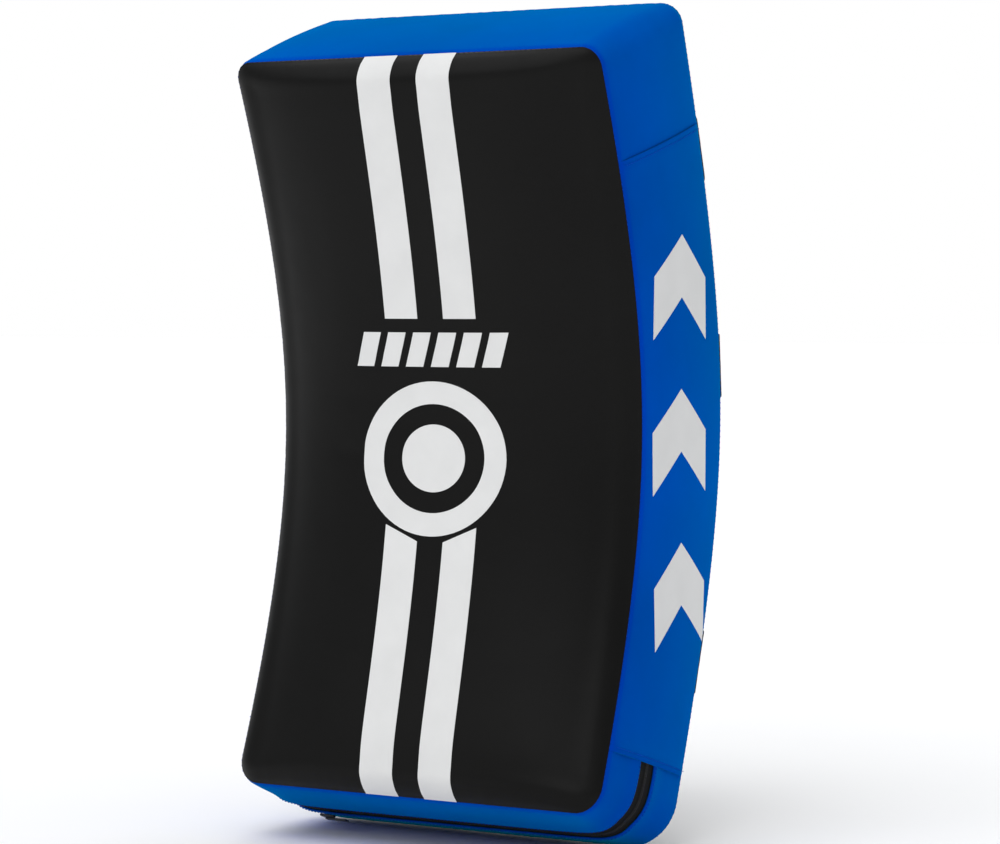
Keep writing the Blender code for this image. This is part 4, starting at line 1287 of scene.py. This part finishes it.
def loop_path(x):
    """The strap's middle line, with the way out, away from the back, at each point."""
    places = [back_point(np.array(x), np.array(v), np.array(lift)) for v, lift in LOOP_ROUTE]
    path = curve_through(places, ROUTE_STEPS)
    along = unit(np.gradient(path, axis=0))
    return path, unit(np.cross(ACROSS, along)), along


def make_loops():
    for side, x in LOOPS.items():
        make_loop(side, x)


def make_loop(side, x):
    path, out, along = loop_path(x)
    body = f"{side}_loop"
    across = np.broadcast_to(ACROSS, out.shape)
    low_bar, top_bar = path[0], back_point(np.array(x), np.array(RING_TOP[0]), np.array(RING_TOP[1]))
    steps = np.arange(len(path))
    lifts = np.interp(steps, (0, 8), (RING_WIRE + 0.0003, 0.0003))
    tail_lifts = np.interp(steps, (0, 8), (-RING_WIRE - 0.0003 - WEBBING, -0.0003 - WEBBING))
    width = LOOP_WIDTH + 0.0004 * np.sin(steps * 0.4)
    drape = np.clip((steps - DRAPE_START) / DRAPE_STEPS, 0, 1) ** 2
    run = distances(path)
    place = [tuple(record_frame(point)) for point in path]
    ring = f"{side}_ring"
    parts = (("strap_top", 0, RING_STEP, lifts, ring, "shield", RING_BLEND, None),
             ("strap_upper", RING_STEP, TAIL_STEP, lifts, "shield", body, LOOP_BLEND, "forearm_strap"),
             ("strap_lower", TAIL_STEP, len(path) - 1, lifts, "shield", body, FOOT_BLEND, "strap_foot"),
             ("tail_top", 0, RING_STEP, tail_lifts, ring, "shield", RING_BLEND, None),
             ("tail", RING_STEP, TAIL_STEP, tail_lifts, "shield", body, LOOP_BLEND, "strap_tail"))
    for name, first, last, lift, from_body, to_body, (begin, stop), node in parts:
        part = slice(first, last + 1)
        wide = width[part] - (0.003 if "tail" in name else 0)
        piece = webbing(f"{side}_{name}", path[part], across[part], out[part], wide, lift[part],
                        start=run[first], drape=drape[part])
        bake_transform(piece)
        if node:
            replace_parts(piece, f"{side}_{node}")
    make_fold(side, low_bar, along[0])
    make_ring(side, top_bar, low_bar)
    make_ring_tab(side, x, top_bar)
    make_arm_pad(side, path, out, body)
    make_loop_stitching(side, path, out, body)


def half_turn(name, centre, legs, width, radius, thick, body):
    """Webbing folded round a bar, as half a turn with straight legs."""
    legs_way = unit(legs)
    side_way = np.cross(ACROSS, legs_way)
    angles = np.linspace(0, math.pi, 13)
    arc = [centre + side_way * math.cos(t) * radius - legs_way * math.sin(t) * radius for t in angles]
    outs = [side_way * math.cos(t) - legs_way * math.sin(t) for t in angles]
    reach = np.linalg.norm(legs)
    points = [arc[0] + legs_way * reach, arc[0] + legs_way * reach / 2, *arc,
              arc[-1] + legs_way * reach / 2, arc[-1] + legs_way * reach]
    outs = [outs[0], outs[0], *outs, outs[-1], outs[-1]]
    across = np.broadcast_to(ACROSS, (len(points), 3))
    return webbing(name, points, across, np.array(outs), width, 0.0, body, thick)


def make_fold(side, low_bar, along):
    """Webbing round the ring's lower bar, where the strap turns back on itself."""
    width, radius = LOOP_WIDTH - 0.0006, RING_WIRE + 0.0004
    obj = half_turn(f"{side}_bar_fold", low_bar, along * 0.006, width, radius, 0.0019, f"{side}_ring")
    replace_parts(obj, f"{side}_ring_fold")


def make_ring(side, top_bar, low_bar):
    """A rectangular ring of round wire."""
    down = unit(low_bar - top_bar)
    out = unit(np.cross(ACROSS, down))
    tall = float(np.linalg.norm(low_bar - top_bar))
    reach = RING_WIDTH / 2 - RING_WIRE
    rings = []
    sides = 14
    low = tall - RING_BEND
    for sign, level, begin in ((-1, RING_BEND, 180), (1, RING_BEND, 270), (1, low, 0), (-1, low, 90)):
        centre = top_bar + ACROSS * sign * reach + down * level
        for k in range(9):
            turn = math.radians(begin + 90 * k / 8)
            way = ACROSS * math.cos(turn) + down * math.sin(turn)
            spokes = math.tau * np.arange(sides) / sides
            ring = way * np.cos(spokes)[:, None] + out * np.sin(spokes)[:, None]
            rings.append(centre + way * RING_BEND + ring * RING_WIRE)
    obj = loft_object(f"{side}_wire_ring", rings, LOOKS["nickel"], f"{side}_ring", closed=True)
    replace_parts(obj, f"{side}_ring")


def make_ring_tab(side, x, top_bar):
    """Webbing round the ring's upper bar, whose legs go under the middle band."""
    inner = back_point(np.array(x), np.array(RING_TOP[0] + TAB_REACH), np.array(0.0020))
    legs = inner - top_bar
    obj = half_turn(f"{side}_bar_tab", top_bar, legs, TAB_WIDTH, RING_WIRE + 0.0012, 0.0014, "shield")
    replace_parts(obj, f"{side}_ring_tab")


def make_arm_pad(side, path, out, body):
    """The cushion inside the loop: two faces, a boxed edge with piping on both rims, and keeper ticks."""
    first, last = PAD_STEPS
    near = -0.0003 - WEBBING - 0.0004
    far = near - PAD_DEPTH
    width = PAD_WIDTH - 2 * PIPING
    centre, normal = path[first:last], out[first:last]
    run = distances(centre)
    length = run[-1]
    from_end = np.minimum(run, length - run)
    corner = 0.012
    half = width / 2 - corner + np.sqrt(corner**2 - np.maximum(corner - from_end, 0) ** 2)
    shares = np.concatenate([[-1, -0.985, -0.95], np.linspace(-0.88, 0.88, 15), [0.95, 0.985, 1]])
    plump = (1 - abs(shares) ** 6)[None, :] * np.clip(from_end / 0.010, 0, 1)[:, None] ** 0.5
    quilt = 0.0005 * np.cos(run * 130)[:, None] * (1 - shares**2)[None, :]
    faces = []
    for lift in (near - 0.0016 + 0.0012 * plump, far + 0.0022 - 0.0012 * plump - quilt):
        points = centre[:, None] + normal[:, None] * lift[..., None]
        faces.append(points + ACROSS * (half[:, None] * shares[None, :])[..., None])
    cloth = np.stack(np.broadcast_arrays(half[:, None] * shares[None, :], run[:, None]), -1)
    pad = slab_object(f"{side}_arm_cushion", *faces, LOOKS["pad_cloth"], "pad_fabric", body, cloth)
    face_outwards(pad.data)
    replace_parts(pad, f"{side}_arm_pad")
    for name, level in (("outer", near - 0.0014), ("inner", far + 0.0020)):
        rim_path = pad_rim(centre, normal, half, level)
        piping = round_cord(f"{side}_piping_{name}", rim_path, PIPING, LOOKS["piping"], body)
        if name == "outer":
            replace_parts(piping, f"{side}_arm_pad_binding")
    make_keepers(side, centre, normal, run, half, near, far, body)


def pad_rim(centre, normal, half, level):
    """The closed line round the cushion at one level."""
    right = centre + ACROSS * half[:, None] + normal * level
    left = centre - ACROSS * half[:, None] + normal * level
    ends = []
    for k, sign in ((-1, 1), (0, -1)):
        share = np.linspace(1, -1, 9)[1:-1] * sign
        ends.append(centre[k] + ACROSS * (half[k] * share)[:, None] + normal[k] * level)
    return np.concatenate([right, ends[0], left[::-1], ends[1]])


def round_cord(name, path, radius, look, body, sides=8):
    """A closed round bead along a path."""
    path = np.asarray(path, float)
    ahead = unit(np.roll(path, -1, 0) - np.roll(path, 1, 0))
    side_way = unit(np.cross(ahead, np.array([0.3, 1.0, 0.2])))
    other = np.cross(ahead, side_way)
    rings, cloth = [], []
    run = distances(path)
    turn = math.tau * np.arange(sides) / sides
    for k in range(len(path)):
        spokes = side_way[k] * np.cos(turn)[:, None] + other[k] * np.sin(turn)[:, None]
        rings.append(path[k] + spokes * radius)
        cloth.append(np.stack([turn * radius, np.full(sides, run[k])], -1))
    return loft_object(name, rings, look, body, np.array(cloth), closed=True)


def make_keepers(side, centre, normal, run, half, near, far, body):
    """Short sewn ticks on both long edges of the cushion."""
    runs = []
    for share in (0.2, 0.4, 0.6, 0.8):
        k = int(np.abs(run - run[-1] * share).argmin())
        for sign in (-1, 1):
            edge = ACROSS * sign
            levels = np.linspace(near - 0.0028, far + 0.0034, 6)
            path = centre[k] + edge * (half[k] + 0.0002) + normal[k] * levels[:, None]
            runs.append(stitch_run(path, np.broadcast_to(edge, (6, 3)), 0.0062, 0.95))
    stitches(f"{side}_keepers", runs, 0.0007, body=body)


def make_loop_stitching(side, path, out, body):
    runs = []
    skin = 0.0003 + WEBBING + 0.0002
    for sign in (-1, 1):
        edge = ACROSS * sign * (LOOP_WIDTH / 2 - 0.004)
        part = slice(*ROW_STEPS)
        runs.append(stitch_run(path[part] + edge + out[part] * skin, out[part], 0.0042))
    for k in CROSS_ROW_STEPS:
        across = np.linspace(-0.5, 0.5, 12) * (LOOP_WIDTH - 0.008)
        line = path[k] + ACROSS * across[:, None] + out[k] * skin
        runs.append(stitch_run(line, np.broadcast_to(out[k], (12, 3)), WEBBING_PITCH))
    stitches(f"{side}_loop_stitching", runs, 0.00036, body=body)


def make_anchor_stitching():
    """Crossed boxes on the middle band above each ring, and on the bottom band below each strap."""
    runs = []
    for x in LOOPS.values():
        for middle, low, high in (("middle_band", -0.36, 0.30), ("bottom_band", -0.30, 0.36)):
            for (s0, x0), (s1, x1) in crossed_box(low, high, 0.024):
                share = np.linspace(0, 1, 20)
                u = (x + x0 + (x1 - x0) * share) / (WIDTH[1] / 2)
                v = band_level(u, BANDS[middle], s0 + (s1 - s0) * share)
                over = cover_point(1, u, v, BAND_LIFT + WEBBING + 0.0001 + 0 * u)
                runs.append(stitch_run(over, cover_normal(1, u, v), WEBBING_PITCH))
    stitches("anchor_stitching", runs, 0.00038)


# Floor, light and camera

TARGET = Vector((0.0, -0.139, 0.085))
AZIMUTH, ELEVATION, DISTANCE, LENS = 30.2, 2.25, 2.872, 111.1


def make_stage():
    floor_mesh = bpy.data.meshes.new("floor")
    work = bmesh.new()
    bmesh.ops.create_grid(work, x_segments=2, y_segments=2, size=30)
    work.to_mesh(floor_mesh)
    work.free()
    floor = bpy.data.objects.new("floor", floor_mesh)
    floor.location = (0, 0, CAD_BOX[0][2] - 0.001)
    bpy.context.scene.collection.objects.link(floor)
    look = Nodes("floor_paint", 0.7, specular=0.2)
    look.colour(look.ramp(look.noise(look.place(), 2.0), (0.93, 0.93, 0.93), (0.95, 0.95, 0.95), 0.3, 0.7))
    floor_mesh.materials.append(look.material)


def soft_sun(name, way, power, spread):
    """Light from one side of a studio: way points from the pad to the light."""
    data = bpy.data.lights.new(name, "SUN")
    data.energy = power
    data.angle = math.radians(spread)
    obj = bpy.data.objects.new(name, data)
    obj.rotation_euler = Vector(way).to_track_quat("Z", "Y").to_euler()
    bpy.context.scene.collection.objects.link(obj)


def make_lights():
    """A pale studio: the world is brighter to the camera than to the pad, and three broad lights add form."""
    world = bpy.data.worlds.new("studio")
    bpy.context.scene.world = world
    world.use_nodes = True
    tree = world.node_tree
    dim = tree.nodes["Background"]
    dim.inputs["Color"].default_value = (0.94, 0.96, 1.0, 1)
    dim.inputs["Strength"].default_value = 0.40
    pale = tree.nodes.new("ShaderNodeBackground")
    pale.inputs["Color"].default_value = (1.0, 1.0, 1.0, 1)
    pale.inputs["Strength"].default_value = 1.0
    mix = tree.nodes.new("ShaderNodeMixShader")
    seen = tree.nodes.new("ShaderNodeLightPath")
    tree.links.new(seen.outputs["Is Camera Ray"], mix.inputs["Fac"])
    tree.links.new(dim.outputs["Background"], mix.inputs[1])
    tree.links.new(pale.outputs["Background"], mix.inputs[2])
    tree.links.new(mix.outputs["Shader"], tree.nodes["World Output"].inputs["Surface"])
    soft_sun("overhead", (0.0, 0.1, 1.0), 0.9, 80)
    soft_sun("front_key", (-0.2, -0.9, 1.0), 1.2, 60)
    soft_sun("rear_key", (-0.3, 1.0, 0.9), 0.8, 60)


def make_camera():
    azimuth, elevation = math.radians(AZIMUTH), math.radians(ELEVATION)
    way = Vector((math.sin(azimuth) * math.cos(elevation), -math.cos(azimuth) * math.cos(elevation),
                  math.sin(elevation)))
    data = bpy.data.cameras.new("camera")
    data.sensor_width = 36
    data.lens = LENS
    camera = bpy.data.objects.new("camera", data)
    camera.location = TARGET + way * DISTANCE
    camera.rotation_euler = (-way).to_track_quat("-Z", "Y").to_euler()
    bpy.context.scene.collection.objects.link(camera)
    bpy.context.scene.camera = camera


def main():
    bpy.context.scene.view_settings.view_transform = "Standard"
    make_camera()
    make_stage()
    make_lights()
    SWELL.simulate()
    make_cover("front_cover", -1, "front_cover_panel", LOOKS["front_black"])
    make_cover("rear_cover", 1, "rear_cover_panel", LOOKS["rear_black"])
    make_side_band()
    make_bands()
    make_label()
    make_front_print()
    make_side_print()
    make_handle()
    make_loops()
    make_anchor_stitching()
    bevelled_node("slider_body", "zip_slider", 0.0006)
    bevelled_node("slider_pull", "zip_pull", 0.0004)
    for node in ("front_impact_foam", "core_foam", "rear_foam_sheet"):
        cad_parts[node].data.materials[0] = LOOKS["foam"]


main()
